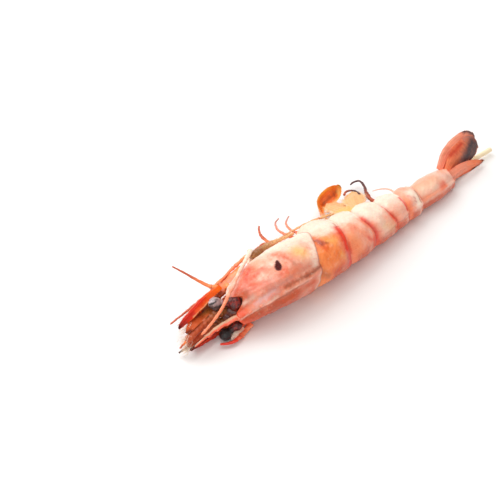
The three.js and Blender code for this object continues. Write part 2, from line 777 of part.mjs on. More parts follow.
Object.entries(EYES).forEach(([side, parts]) => piece(`eye_${side}`, eye(parts), EYE_DARK));
Object.entries(SCALES).forEach(([side, leaf]) => {
  piece(`antennal_scale_${side}`, antennalScale(leaf), SCALE_RED);
});
Object.entries(HEAD_LIMBS).forEach(([name, shape]) => {
  piece(name, clearOfBody(solid(limb(shape))), STALK_BROWN);
});
Object.entries(LEGS).forEach(([name, shape]) => {
  piece(name, clearOfBody(solid(limb({ ...LEG, ...shape }))), LEG_CREAM);
});
for (let k = 0; k < LEFT_LEGS.count; k += 1) {
  piece(`leg_${k + 1}_left`, clearOfBody(solid(leftLeg(k))), LEG_CREAM);
}
Object.entries(PLEOPODS).forEach(([name, shape]) => piece(name, pleopod(shape), SWIMMER_ORANGE));
Object.entries(TAIL_LEAVES).forEach(([name, leaf]) => piece(name, fanLeaf(leaf), FAN_SALMON));
piece('telson', telson(), FAN_SALMON);
piece('skewer', skewer(SKEWER.radius, SKEWER.start[0]), BAMBOO);

// The origin is the middle of the rectangle that the prawn covers, on the floor.
const reach = new THREE.Box3().setFromObject(prawn, true);
const middle = reach.getCenter(new THREE.Vector3());
const scene = new THREE.Group();
scene.add(prawn);
scene.position.set(-middle.x, -middle.y, -reach.min.z);
export default scene;
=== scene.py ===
"""A grilled tiger prawn in its shell, dressed over its solid model.

Sizes are in millimetres. A place "beside the axis" is (x toward the tail, y toward the right flank,
z toward the back), measured from the prawn's own curved axis. Meshes are made in metres, in the
frame of the solid model.
"""
from __future__ import annotations

import logging
from dataclasses import dataclass, field
from enum import Enum
from typing import Callable, Sequence, Union

import bpy
import numpy as np
from mathutils import Matrix, Vector

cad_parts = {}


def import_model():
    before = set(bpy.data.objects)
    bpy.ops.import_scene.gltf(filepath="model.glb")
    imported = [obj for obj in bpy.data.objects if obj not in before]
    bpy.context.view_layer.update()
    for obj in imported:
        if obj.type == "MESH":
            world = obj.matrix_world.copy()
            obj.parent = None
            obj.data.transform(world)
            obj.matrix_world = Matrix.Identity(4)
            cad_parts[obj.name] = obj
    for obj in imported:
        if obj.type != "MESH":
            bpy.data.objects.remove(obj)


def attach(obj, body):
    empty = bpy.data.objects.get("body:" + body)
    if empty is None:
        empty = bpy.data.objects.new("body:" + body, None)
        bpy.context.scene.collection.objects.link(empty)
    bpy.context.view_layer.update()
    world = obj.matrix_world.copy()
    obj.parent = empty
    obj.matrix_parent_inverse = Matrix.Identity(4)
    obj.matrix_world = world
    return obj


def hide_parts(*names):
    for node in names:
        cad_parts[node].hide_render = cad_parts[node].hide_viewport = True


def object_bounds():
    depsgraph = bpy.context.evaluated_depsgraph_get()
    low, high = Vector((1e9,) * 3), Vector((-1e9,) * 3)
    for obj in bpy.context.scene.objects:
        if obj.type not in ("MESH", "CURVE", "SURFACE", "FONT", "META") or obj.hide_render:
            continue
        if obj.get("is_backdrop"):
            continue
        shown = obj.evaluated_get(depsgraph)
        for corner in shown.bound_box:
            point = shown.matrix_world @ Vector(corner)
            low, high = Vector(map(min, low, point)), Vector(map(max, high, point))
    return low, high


log = logging.getLogger("prawn")

MM = 0.001
Array = np.ndarray
Point = tuple[float, float, float]
Colour = tuple[float, float, float, float]
Path = tuple[Point, ...]
Surface = Callable[[Array, Array], Array]


# ------------------------------------------------------------------------------ numbers and curves
def bell(distance: Array, spread: float) -> Array:
    """A bell of height 1 round zero: exp(-(distance / spread) squared)."""
    return np.exp(-((np.asarray(distance) / spread) ** 2))


def smooth(low: float, high: float, value: Array) -> Array:
    """A smooth step from 0 at `low` to 1 at `high`: 3 t^2 - 2 t^3 of the share between them."""
    share = np.clip((np.asarray(value) - low) / (high - low), 0.0, 1.0)
    return share * share * (3.0 - 2.0 * share)


def blend(start: float, end: float, share: Array) -> Array:
    """The straight mix of two numbers."""
    return start + (end - start) * share


def unit(vectors: Array) -> Array:
    """The same directions at length 1."""
    return vectors / np.maximum(np.linalg.norm(vectors, axis=-1, keepdims=True), 1e-9)


def square_to(way: Array, reference: Array) -> tuple[Array, Array]:
    """Two directions square to `way` and to each other, the first also square to the reference."""
    first = unit(np.cross(way, reference))
    return first, np.cross(way, first)


def around(count: int) -> Array:
    """Even angles of one full turn."""
    return np.linspace(0.0, 2.0 * np.pi, count, endpoint=False)


def above(places: Array, least: float) -> Array:
    """The same places or directions, none lower than `least`."""
    return np.concatenate([places[..., :2], np.maximum(places[..., 2:], least)], axis=-1)


def ripple(points: Array, size: float, seed: int) -> Array:
    """Soft unevenness round 0, within about 1: sine waves of about `size` mm in random directions.

    Args:
        points: places in millimetres, with the last axis x, y, z.
        size: the middle wave length.
        seed: which of the patterns.
    """
    rng = np.random.default_rng(seed)
    waves = 12
    directions = unit(rng.normal(size=(waves, 3))) * rng.uniform(0.6, 1.7, (waves, 1)) * (2.0 * np.pi / size)
    phases = rng.uniform(0.0, 2.0 * np.pi, waves)
    return np.sin(points @ directions.T + phases).sum(axis=-1) / np.sqrt(waves)


def through(knots: Sequence[float], values: Array, x: Array) -> Array:
    """Cubic interpolation of table rows, flat-curved at both ends.

    Each stretch is a Hermite cubic whose end slopes are the slopes between the neighbouring knots,
    weighted by the stretch's half length.

    Args:
        knots: rising positions.
        values: one row of values for each knot.
        x: where to read the table.

    Returns:
        The values at x, with the table's columns as the last axis.
    """
    knots, values = np.asarray(knots, float), np.asarray(values, float)
    x = np.clip(np.asarray(x, float), knots[0], knots[-1])
    last = len(knots) - 1
    right = np.clip(np.searchsorted(knots, x, side="right"), 1, last)
    left = right - 1
    before, after = np.where(left == 0, right, left - 1), np.where(right == last, left, right + 1)
    half = (knots[right] - knots[left]) / 2.0
    ahead, behind = half / (knots[left] - knots[before]), half / (knots[after] - knots[right])
    p = (x - knots[left]) / (knots[right] - knots[left])
    shares = (
        (before, ahead * (-(p**3) + 2 * p**2 - p)),
        (left, (1 + ahead) * p**3 + (-1.5 - 2 * ahead) * p**2 + (ahead - 0.5) * p + 1),
        (right, (-1 - behind) * p**3 + (1.5 + behind) * p**2 + 0.5 * p),
        (after, behind * (p**3 - p**2)),
    )
    return sum(values[row] * share[..., None] for row, share in shares)


# ------------------------------------------------------------------------------ colours
def srgb(red: int, green: int, blue: int) -> Colour:
    """A screen colour of 0 to 255 as the linear colour that shaders use."""
    part = np.array([red, green, blue]) / 255.0
    linear = np.where(part <= 0.04045, part / 12.92, ((part + 0.055) / 1.055) ** 2.4)
    return (*linear.tolist(), 1.0)


class Tint(Enum):
    """The colours of a grilled prawn."""

    CREAM = srgb(252, 226, 206)
    PALE_PINK = srgb(250, 196, 172)
    BLUSH = srgb(238, 176, 150)
    PINK = srgb(246, 152, 122)
    SALMON = srgb(252, 136, 92)
    CORAL = srgb(238, 88, 50)
    ORANGE = srgb(255, 142, 74)
    DEEP_ORANGE = srgb(232, 98, 14)
    GOLD = srgb(250, 176, 66)
    YELLOW = srgb(250, 190, 104)
    RED = srgb(228, 44, 14)
    VIVID_RED = srgb(196, 24, 0)
    DEEP_RED = srgb(160, 36, 20)
    # painted shade: the left flank darkened as the side turned away from the light
    SHADED_FLANK = srgb(198, 68, 18)
    BROWN = srgb(160, 74, 38)
    RUST = srgb(196, 84, 40)
    BURNT = srgb(156, 54, 4)
    TAUPE = srgb(170, 140, 138)
    OLIVE = srgb(140, 84, 34)
    MAROON = srgb(74, 14, 14)
    BLACK = srgb(22, 16, 17)
    GREY = srgb(74, 62, 66)
    LILAC = srgb(214, 204, 212)
    MAUVE = srgb(210, 140, 126)
    TAN = srgb(236, 178, 122)
    HORN = srgb(204, 176, 140)
    BAMBOO = srgb(250, 222, 172)
    STRAW = srgb(252, 238, 208)


Shade = Union[Tint, bpy.types.NodeSocket, Colour]


# ------------------------------------------------------------------------------ the prawn's body
@dataclass(frozen=True)
class Body:
    """The axis of the prawn and the superellipse sections round it, rolled onto the left flank."""

    roll: float = float(np.radians(64.0))
    press: float = 0.45
    curl: float = 4.4
    tail: float = 103.0
    squareness: float = 2.25
    middle: tuple[float, float] = (28.71, 11.69)
    stations: tuple[tuple[float, float, float, float], ...] = (
        (-78, 6.4, 7, 6.8), (-48, 9, 8, 9.5), (-34, 11.9, 12.2, 13.4), (-14, 13.3, 14.8, 15),
        (0, 13.3, 15, 13.8), (19, 12.3, 13.8, 11.3), (37, 10.8, 12.1, 9.7), (53, 9.3, 10.4, 8.4),
        (65, 8.1, 9, 7.4), (77, 7.2, 8, 6.6), (91, 6.5, 7.1, 5.9), (103, 5.2, 5.6, 4.8),
    )

    def girth(self, x: Array) -> Array:
        """Half width, height of the back and depth of the belly at x."""
        table = np.array(self.stations, float)
        return through(table[:, 0], table[:, 1:], x)

    def height(self, x: Array) -> Array:
        """Height of the axis over the floor: the rolled section's reach down, less the pressed flat."""
        side, _, belly = np.moveaxis(self.girth(x), -1, 0)
        dual = self.squareness / (self.squareness - 1.0)
        down = (np.sin(self.roll) * side) ** dual + (np.cos(self.roll) * belly) ** dual
        return down ** (1.0 / dual) - self.press

    def lean(self, x: Array) -> Array:
        """Sideways place of the axis: straight at the head, curling gently down the tail."""
        return self.curl * (np.maximum(x, 0.0) / self.tail) ** 1.5

    def at(self, x: Array, y: Array, z: Array) -> Array:
        """Points beside the axis, in the frame of the solid model, in millimetres."""
        x, y, z = np.broadcast_arrays(*(np.asarray(v, float) for v in (x, y, z)))
        sine, cosine = np.sin(self.roll), np.cos(self.roll)
        across = y * cosine - z * sine + self.lean(x) - self.middle[1]
        up = y * sine + z * cosine + self.height(x)
        return np.stack([x - self.middle[0], across, up], axis=-1)

    def skin(self, x: Array, angle: Array, inset: Array = 0.0, relief: Array = 0.0) -> Array:
        """Points of the section at x: superellipse by angle from the back, inset, then relief outward.

        Args:
            x: places along the axis.
            angle: radians from the ridge of the back, plus toward the right flank.
            inset: depth inside the shell.
            relief: added to the radius.
        """
        side, back, belly = np.moveaxis(self.girth(x), -1, 0)
        across, along = np.sin(angle), np.cos(angle)
        power = 2.0 / self.squareness
        high = np.where(along >= 0.0, back, belly)
        y = (side - inset) * np.sign(across) * np.abs(across) ** power
        z = (high - inset) * np.sign(along) * np.abs(along) ** power
        return self.at(x, y + relief * across, z + relief * along)

    def route(self, points: Sequence[Point]) -> Array:
        """Points beside the axis as an array of places in the frame."""
        x, y, z = np.array(points, float).T
        return self.at(x, y, z)


BODY = Body()


@dataclass
class Track:
    """A smooth curve through points, read by share of its length.

    The curve is a centripetal Catmull-Rom spline: the knots are spaced by the square root of the
    distance between points, and each stretch is a Hermite cubic with slopes from its neighbours.
    """

    points: Array
    dense: int = 40
    _line: Array = field(init=False)
    _share: Array = field(init=False)

    def __post_init__(self) -> None:
        """Works out a dense line and the share of the length at each of its points."""
        first = 2 * self.points[0] - self.points[1]
        last = 2 * self.points[-1] - self.points[-2]
        p = np.vstack([first, self.points, last])
        gap = np.maximum(np.sqrt(np.linalg.norm(np.diff(p, axis=0), axis=1)), 1e-4)[:, None]
        chord = np.diff(p, axis=0)
        slope = chord / gap
        wide = (p[2:] - p[:-2]) / (gap[:-1] + gap[1:])
        tangent = slope[:-1] - wide + slope[1:]
        start, end, span = p[1:-2], p[2:-1], gap[1:-1]
        leave, arrive = tangent[:-1] * span, tangent[1:] * span
        t = np.linspace(0.0, 1.0, self.dense, endpoint=False)[None, :, None]
        start, end, leave, arrive = (v[:, None, :] for v in (start, end, leave, arrive))
        line = (
            start + leave * t + (3 * (end - start) - 2 * leave - arrive) * t**2
            + (2 * (start - end) + leave + arrive) * t**3
        ).reshape(-1, 3)
        self._line = np.vstack([line, self.points[-1]])
        steps = np.linalg.norm(np.diff(self._line, axis=0), axis=1)
        total = np.concatenate([[0.0], np.cumsum(steps)])
        self._share = total / total[-1]

    def at(self, share: Array) -> Array:
        """Points at shares of the length."""
        return np.stack([np.interp(share, self._share, axis) for axis in self._line.T], axis=-1)

    def heading(self, share: Array) -> Array:
        """Unit directions at shares of the length."""
        step = 0.004
        return unit(self.at(np.clip(share + step, 0, 1)) - self.at(np.clip(share - step, 0, 1)))


# ------------------------------------------------------------------------------ meshes
class Skin:
    """Collects grids of points into one closed mesh that stays within the solid model's box."""

    room: tuple[Point, Point] = ((-1.0, -1.0, 0.0), (1.0, 1.0, 1.0))

    def __init__(self) -> None:
        """Starts empty."""
        self.points: list[Array] = []
        self.corners: list[Array] = []
        self.sizes: list[Array] = []
        self.marks: dict[str, list[Array]] = {}
        self.count = 0

    @staticmethod
    def wrap(index: Array) -> Array:
        """Faces between the rows of a grid of point numbers whose columns close round."""
        ahead = np.roll(index, -1, axis=-1)
        corners = (index[..., :-1, :], ahead[..., :-1, :], ahead[..., 1:, :], index[..., 1:, :])
        return np.stack(corners, axis=-1).reshape(-1, 4)

    def tube(self, places: Array, **marks: Array | float) -> "Skin":
        """Adds rows of points that close round, with fans that close the first and the last row.

        All faces are turned over together where the volume that they enclose comes out negative.

        Args:
            places: points by row and column, in millimetres.
            marks: values for each point, by name: one number, or four for a colour.

        Returns:
            The skin itself.
        """
        rows, columns = places.shape[:2]
        index = np.arange(rows * columns).reshape(rows, columns)
        ahead, pole = np.roll(index, -1, axis=1), np.full(columns, rows * columns)
        start, end = (ahead[0], index[0], pole), (index[-1], ahead[-1], pole + 1)
        quads, fans = self.wrap(index), np.vstack([np.stack(fan, axis=-1) for fan in (start, end)])
        points = np.vstack([places.reshape(-1, 3), places[0].mean(axis=0), places[-1].mean(axis=0)])
        a, b, c, d = (points[quads[:, k]] - points.mean(axis=0) for k in range(4))
        if np.sum(a * np.cross(b, c)) + np.sum(a * np.cross(c, d)) < 0:
            quads, fans = quads[:, ::-1], fans[:, ::-1]
        values = {}
        for name, mark in marks.items():
            flat = np.broadcast_to(mark, (rows, columns, *np.shape(mark)[2:])).reshape(rows * columns, -1)
            values[name] = np.vstack([flat, flat[:1], flat[-columns:][:1]])
        self.add(points, (quads, fans), values)
        return self

    def add(self, points: Array, faces: Sequence[Array], values: dict[str, Array]) -> None:
        """Appends points with their marks, and faces that count from the first of these points."""
        for group in faces:
            self.corners.append((group + self.count).reshape(-1))
            self.sizes.append(np.full(len(group), group.shape[1]))
        for name in {**self.marks, **values}:
            width = (values[name] if name in values else self.marks[name][0]).shape[1]
            column = self.marks.setdefault(name, [np.zeros((self.count, width))] if self.count else [])
            column.append(values.get(name, np.zeros((len(points), width))))
        self.points.append(points)
        self.count += len(points)

    def hairs(
        self, roots: Array, ways: Array, lengths: Array, thick: float, seed: int, bend: float = 0.35,
    ) -> None:
        """Adds bristles: three-sided tapering tubes that bend along their length.

        Each bristle is root + way * length * t + aside * bend * length * t squared, and its radius
        falls toward the point.

        Args:
            roots: where each starts.
            ways: unit directions.
            lengths: length of each.
            thick: radius at the root.
            seed: which random bends.
            bend: how far a tip bends aside, as a share of the length.
        """
        steps, sides = 5, 3
        t = np.linspace(0.0, 1.0, steps)[None, :, None]
        aside = unit(np.random.default_rng(seed).normal(size=ways.shape))
        line = roots[:, None] + lengths[:, None, None] * (ways[:, None] * t + bend * aside[:, None] * t**2)
        first, second = square_to(ways, aside + 1e-3)
        turn = around(sides)[:, None]
        ring = first[:, None] * np.cos(turn) + second[:, None] * np.sin(turn)
        points = line[:, :, None] + ring[:, None] * (thick * (1.0 - 0.85 * t))[..., None]
        index = np.arange(len(roots) * steps * sides).reshape(len(roots), steps, sides)
        ends = np.concatenate([index[:, 0, ::-1], index[:, -1]])
        along = np.broadcast_to(t[..., None], (len(roots), steps, sides, 1)).reshape(-1, 1)
        self.add(points.reshape(-1, 3), (self.wrap(index), ends), {"along": along})

    def piece(self, name: str, material: bpy.types.Material, slot: str, nodes: Sequence[str] = ()) -> None:
        """Makes the mesh, paints it and ties it to the frame.

        Args:
            name: the piece's name.
            material: its finish.
            slot: the record's material slot; not used.
            nodes: solids that the piece stands for.
        """
        points = np.clip(np.vstack(self.points) * MM, *np.array(self.room))
        corners, sizes = np.concatenate(self.corners), np.concatenate(self.sizes)
        starts = np.concatenate([[0], np.cumsum(sizes)[:-1]])
        mesh = bpy.data.meshes.new(name)
        for table, count, key, values in (
            (mesh.vertices, len(points), "co", points.reshape(-1).astype(np.float32)),
            (mesh.loops, len(corners), "vertex_index", corners.astype(np.int32)),
            (mesh.polygons, len(sizes), "loop_start", starts.astype(np.int32)),
        ):
            table.add(count)
            table.foreach_set(key, values)
        mesh.polygons.foreach_set("use_smooth", np.ones(len(sizes), bool))
        mesh.update(calc_edges=True)
        for mark, values in self.marks.items():
            column = np.vstack(values)
            kind, key = ("FLOAT", "value") if column.shape[1] == 1 else ("FLOAT_COLOR", "color")
            layer = mesh.attributes.new(mark, kind, "POINT")
            layer.data.foreach_set(key, column.reshape(-1).astype(np.float32))
        mesh.materials.append(material)
        piece = bpy.data.objects.new(name, mesh)
        bpy.context.scene.collection.objects.link(piece)
        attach(piece, "root")
        if nodes:
            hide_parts(*nodes)
        log.info("%s: %d points, %d faces", name, len(points), len(sizes))


# ------------------------------------------------------------------------------ shader maths
class Num:
    """A number that varies over a surface: a socket with Python's own arithmetic."""

    def __init__(self, graph: "Graph", socket: bpy.types.NodeSocket) -> None:
        """Wraps a socket of a graph."""
        self.graph = graph
        self.socket = socket

    def __add__(self, other: "Num | float") -> "Num":
        """Sum."""
        return self.graph.maths("ADD", self, other)

    def __sub__(self, other: "Num | float") -> "Num":
        """Difference."""
        return self.graph.maths("SUBTRACT", self, other)

    def __rsub__(self, other: float) -> "Num":
        """Difference from a plain number."""
        return self.graph.maths("SUBTRACT", other, self)

    def __mul__(self, other: "Num | float") -> "Num":
        """Product."""
        return self.graph.maths("MULTIPLY", self, other)

    def __abs__(self) -> "Num":
        """Size without sign."""
        return self.graph.maths("ABSOLUTE", self)

    __radd__, __rmul__ = __add__, __mul__

    def at_most(self, other: "Num | float") -> "Num":
        """The smaller of the two."""
        return self.graph.maths("MINIMUM", self, other)

    def sine(self) -> "Num":
        """Sine of the number in radians."""
        return self.graph.maths("SINE", self)

    def step(self, low: float, high: float) -> "Num":
        """Smooth step from 0 at `low` to 1 at `high`; it falls where `high` is the lower one."""
        ends = {"From Min": min(low, high), "From Max": max(low, high), "To Min": 0.0, "To Max": 1.0}
        kind = {"interpolation_type": "SMOOTHSTEP"}
        node = self.graph.node("ShaderNodeMapRange", kind, {"Value": self, **ends})
        risen = Num(self.graph, node.outputs["Result"])
        return 1.0 - risen if high < low else risen

    def near(self, centre: float, reach: float) -> "Num":
        """1 at `centre`, falling smoothly to 0 at `reach` on both sides."""
        return abs(self - centre).step(reach, 0.0)


class Graph:
    """A material's node tree with short ways to add nodes."""

    def __init__(self, name: str) -> None:
        """Starts an empty material."""
        self.material = bpy.data.materials.new(name)
        self.material.use_nodes = True
        self.tree = self.material.node_tree
        self.tree.nodes.clear()

    def node(self, kind: str, settings: dict | None = None, inputs: dict | None = None) -> bpy.types.Node:
        """Adds one node.

        Args:
            kind: the node's type.
            settings: its own settings, set first.
            inputs: numbers, colours or links for its sockets, by name or number.

        Returns:
            The node.
        """
        node = self.tree.nodes.new(kind)
        for name, value in (settings or {}).items():
            setattr(node, name, value)
        for name, value in (inputs or {}).items():
            value = value.socket if isinstance(value, Num) else value
            if isinstance(value, bpy.types.NodeSocket):
                self.tree.links.new(value, node.inputs[name])
            else:
                node.inputs[name].default_value = value.value if isinstance(value, Tint) else value
        return node

    def maths(self, operation: str, *values: Num | float) -> Num:
        """A Math node on one or two values."""
        node = self.node("ShaderNodeMath", {"operation": operation}, dict(enumerate(values)))
        return Num(self, node.outputs[0])

    def stored(self, name: str) -> bpy.types.Node:
        """Reads what the mesh stores under a name."""
        return self.node("ShaderNodeAttribute", {"attribute_name": name, "attribute_type": "GEOMETRY"})

    def mark(self, name: str) -> Num:
        """A number stored on the mesh."""
        return Num(self, self.stored(name).outputs["Fac"])

    def place(self, stretch: Point) -> bpy.types.NodeSocket:
        """Object coordinates in millimetres, stretched by axis."""
        where = self.node("ShaderNodeTexCoord").outputs["Object"]
        scale = tuple(1.0 / MM / s for s in stretch)
        node = self.node("ShaderNodeMapping", {"vector_type": "POINT"}, {"Vector": where, "Scale": scale})
        return node.outputs["Vector"]

    def noise(self, size: float, detail: float = 2.0, rough: float = 0.5, stretch: Point = (1, 1, 1)) -> Num:
        """Noise from 0 to 1 with features of about `size` mm."""
        node = self.node("ShaderNodeTexNoise", None, {
            "Vector": self.place(stretch), "Scale": 1.0 / size, "Detail": detail, "Roughness": rough,
        })
        return Num(self, node.outputs["Fac"])

    def cells(self, size: float) -> Num:
        """Distance to the nearest of scattered points about `size` mm apart, in cell sizes."""
        inputs = {"Vector": self.place((1, 1, 1)), "Scale": 1.0 / size}
        node = self.node("ShaderNodeTexVoronoi", None, inputs)
        return Num(self, node.outputs["Distance"])

    def layers(self, colour: Shade, *coats: tuple[Num | float, Shade]) -> Shade:
        """Lays colours over one another, the lowest first: each covers its share of what is under it."""
        for share, coat in coats:
            settings = {"data_type": "RGBA", "clamp_factor": True}
            colour = self.node("ShaderNodeMix", settings, {0: share, 6: colour, 7: coat}).outputs[2]
        return colour

    def painted(self, under: Shade, fine: Num) -> Shade:
        """Lays the brush marks stored on the mesh over a colour, a little broken up."""
        marks = self.stored("paint")
        cover = (Num(self, marks.outputs["Alpha"]) * (0.84 + 0.32 * fine)).at_most(1.0)
        return self.layers(under, (cover, marks.outputs["Color"]))

    def finish(
        self, colour: Shade, rough: Num | float, bump: Num | None = None, depth: float = 0.1,
        coat: tuple[Num | float, float] = (0.0, 0.03), soft: Point | None = None, reach: float = 0.8,
        shine: float = 0.5,
    ) -> bpy.types.Material:
        """Closes the material with one principled shader.

        Args:
            colour: its base colour.
            rough: its roughness.
            bump: height of the fine relief, 0 to 1.
            depth: what height 1 measures, in millimetres.
            coat: weight and roughness of the clear coat.
            soft: how far red, green and blue spread under the surface, in shares of `reach`.
            reach: that distance in millimetres.
            shine: the specular level.

        Returns:
            The material.
        """
        values = {"Base Color": colour, "Roughness": rough, "Specular IOR Level": shine}
        values |= {"Coat Weight": coat[0], "Coat Roughness": coat[1]}
        if soft is not None:
            values |= {"Subsurface Weight": 0.12, "Subsurface Radius": soft, "Subsurface Scale": reach * MM}
        if bump is not None:
            relief = {"Height": bump, "Distance": depth * MM, "Strength": 1.0}
            values["Normal"] = self.node("ShaderNodeBump", None, relief).outputs["Normal"]
        shader = self.node("ShaderNodeBsdfPrincipled", None, values)
        self.node("ShaderNodeOutputMaterial", None, {"Surface": shader.outputs[0]})
        return self.material


# ------------------------------------------------------------------------------ finishes
@dataclass(frozen=True)
class Stroke:
    """A brush mark.

    Attributes:
        line: places along its middle, in the surface's own two coordinates. On the shell these are
            millimetres along the axis and degrees round from the back, and on a leaf the share of
            its length and -1 to 1 across it.
        width: distance in millimetres at which it has faded to a third.
        tint: its colour.
        strength: how much it covers at its middle.
        crisp: 1 fades softly, 3 has a clear edge.
    """

    line: tuple[tuple[float, float], ...]
    width: float
    tint: Tint
    strength: float = 0.8
    crisp: float = 1.0

    def cover(self, points: Array, wobble: Array, surface: Surface) -> Array:
        """How much each point takes: exp(-(distance / width + wobble) to the power 2 * crisp)."""
        u, v = np.array(self.line, float).T
        knots = np.arange(len(u))
        fine = np.linspace(0, len(u) - 1, 8 * len(u)) if len(u) > 1 else np.zeros(1)
        middle = surface(np.interp(fine, knots, u), np.interp(fine, knots, v))
        away = np.min([np.linalg.norm(points - place, axis=-1) for place in middle], axis=0) / self.width
        uneven = wobble * np.minimum(away, 1.0) * min(1.0, 1.2 / self.width)
        return self.strength * np.exp(-np.maximum(away + uneven, 0.0) ** (2.0 * self.crisp))


def strokes(*rows: tuple) -> tuple[Stroke, ...]:
    """Brush marks from rows of tint, width, strength, and then the line's places as u, v, u, v."""
    return tuple(
        row if isinstance(row, Stroke) else Stroke(tuple(zip(row[3::2], row[4::2])), row[1], row[0], row[2])
        for row in rows
    )


def painted(points: Array, marks: Sequence[Stroke], surface: Surface, seed: int) -> Array:
    """Lays strokes over one another: each covers its share of what lies under it.

    Args:
        points: places in millimetres.
        marks: the strokes, the lowest first.
        surface: turns a mark's own two coordinates into places.
        seed: which unevenness their edges have.

    Returns:
        Red, green, blue and cover for each point.
    """
    wobble = 0.24 * ripple(points, 3.0, seed) + 0.14 * ripple(points, 1.2, seed + 1)
    colour, cover = np.zeros((*points.shape[:-1], 3)), np.zeros((*points.shape[:-1], 1))
    for mark in marks:
        share = mark.cover(points, wobble, surface)[..., None]
        total = share + cover * (1.0 - share)
        mixed = np.array(mark.tint.value[:3]) * share + colour * cover * (1.0 - share)
        colour, cover = mixed / np.maximum(total, 1e-6), total
    return np.concatenate([colour, cover], axis=-1)


def on_shell(x: Array, degrees: Array) -> Array:
    """Places on the shell by millimetres along the axis and degrees round from the back."""
    return BODY.skin(x, np.radians(degrees))


def round_the_body(count: int) -> Array:
    """Angles round the body, about twice as close on the back: s - 0.45 sin(s) for even steps s."""
    even = np.linspace(-np.pi, np.pi, count, endpoint=False)
    return even - 0.45 * np.sin(even)


@dataclass(frozen=True)
class ShellFinish:
    """Cooked shell: salmon back; cream high on the right flank, partly painted highlight; browner left
    flank, partly painted shade.

    Attributes:
        base: colour of the back.
        flank: colour of the right flank, paler there partly as a painted highlight of its lit side.
        pale_from: degrees from the back where the flank's colour starts.
        pale_to: degrees where it is full.
        band: strength of the red band along the rear rim.
        collar: strength of the pale stretch before that band.
        neck: colour of the stretch just behind the rim in front, a painted shade under that rim.
        neck_share: how far along the plate that stretch reaches.
        mottle: strength of the red clouding.
        ridge: strength of the thin brown line along the back.
    """

    name: str
    base: Tint
    flank: Tint
    pale_from: float
    pale_to: float
    band: float
    collar: float
    neck: Tint
    neck_share: float
    mottle: float = 0.5
    ridge: float = 0.0

    def material(self) -> bpy.types.Material:
        """Builds the shader."""
        g = Graph(self.name)
        along, turn, side, scorch = (g.mark(name) for name in ("along", "turn", "side", "scorch"))
        cloud, fine, speck = g.noise(7.0, 3.0, 0.6), g.noise(1.4, 3.0, 0.6), g.noise(1.9, 4.0, 0.7)
        right, left = side.step(-0.05, 0.25), side.step(0.02, -0.4)
        # the pale mask: the cream right flank, partly the shell's paler side and partly a painted highlight
        # where the light falls
        pale = (turn + (cloud - 0.5) * 50.0).step(self.pale_from, self.pale_to) * right
        streak = g.noise(2.2, 3.0, 0.6, (3.5, 1.0, 1.0)).step(0.52, 0.68) * (1.0 - pale * 0.6)
        front = (along + (cloud - 0.5) * 0.12).step(self.neck_share, self.neck_share * 0.35)
        rear = (along + (fine - 0.5) * 0.06).step(0.85, 0.97)
        colour = g.layers(
            self.base,
            (pale, self.flank),
            # the browner left flank is partly painted shade of the side turned away from the light
            (left * 0.92, Tint.SHADED_FLANK),
            (g.noise(4.2, 4.0, 0.65).step(0.48, 0.7) * (1.0 - left * 0.6) * 0.4, Tint.PALE_PINK),
            (g.noise(6.0, 4.0, 0.62).step(0.47, 0.66) * (1.0 - pale * 0.62) * self.mottle, Tint.CORAL),
            (streak * 0.3, Tint.ORANGE),
            # painted shade: the stretch just behind the rim in front, under its overhang
            (front * (1.0 - pale * 0.7), self.neck),
            (along.near(0.8, 0.17) * (0.35 + 1.1 * cloud) * self.collar, Tint.PALE_PINK),
            (rear * (turn.step(112.0, 66.0) * self.band * (1.0 - pale * 0.6)), Tint.RED),
        )
        dots = g.cells(0.8).step(0.36, 0.18) * fine.step(0.44, 0.6) * g.noise(5.0).step(0.42, 0.62)
        line = turn.near(9.0, 4.5) * right * (fine + 0.4).at_most(1.0)
        colour = g.layers(
            g.painted(colour, fine),
            (speck.step(0.52, 0.66) * 0.55 * self.mottle * (1.0 - pale * 0.7), Tint.CORAL),
            (speck.step(0.44, 0.32) * 0.3 * self.mottle, Tint.CREAM),
            (scorch * 1.15, Tint.MAROON),
            (dots * 0.42 * (1.0 - pale * 0.5), Tint.RED),
            (g.noise(0.9, 3.0, 0.7).step(0.6, 0.74) * 0.22, Tint.BROWN),
            (line * self.ridge, Tint.BROWN),
            (along.step(0.975, 0.998) * 0.55, Tint.BROWN),
        )
        relief = fine * 0.45 + g.noise(0.4, 2.0) * 0.25 + streak * 0.2 + cloud * 0.6
        return g.finish(
            colour, 0.32 + fine.step(0.35, 0.7) * 0.2 + scorch * 0.5, relief, 0.16,
            ((0.12 + cloud * 0.25) * (1.0 - scorch), 0.12), (0.9, 0.35, 0.2), 1.2, 0.4,
        )


@dataclass(frozen=True)
class LimbFinish:
    """Horny limbs: one colour that turns into another toward the tip, with darker joints."""

    name: str
    root: Tint
    tip: Tint
    turn_at: float = 0.55
    joint: Tint = Tint.BROWN
    mottle: Tint = Tint.CREAM
    rough: float = 0.42

    def material(self) -> bpy.types.Material:
        """Builds the shader."""
        g = Graph(self.name)
        cloud, fine = g.noise(2.6, 3.0, 0.6), g.noise(0.7, 2.0)
        colour = g.layers(
            self.root,
            ((g.mark("along") + (cloud - 0.5) * 0.5).step(self.turn_at - 0.3, self.turn_at + 0.3), self.tip),
            (g.noise(3.4, 3.0, 0.7).step(0.55, 0.75) * 0.4, self.mottle),
            (g.mark("joint") * 0.55, self.joint),
            (fine.step(0.55, 0.75) * 0.2, self.joint),
        )
        relief = fine * 0.5 + g.noise(0.25) * 0.5
        return g.finish(colour, self.rough + (fine - 0.5) * 0.2, relief, 0.06, (0.15, 0.2), (0.8, 0.3, 0.15))


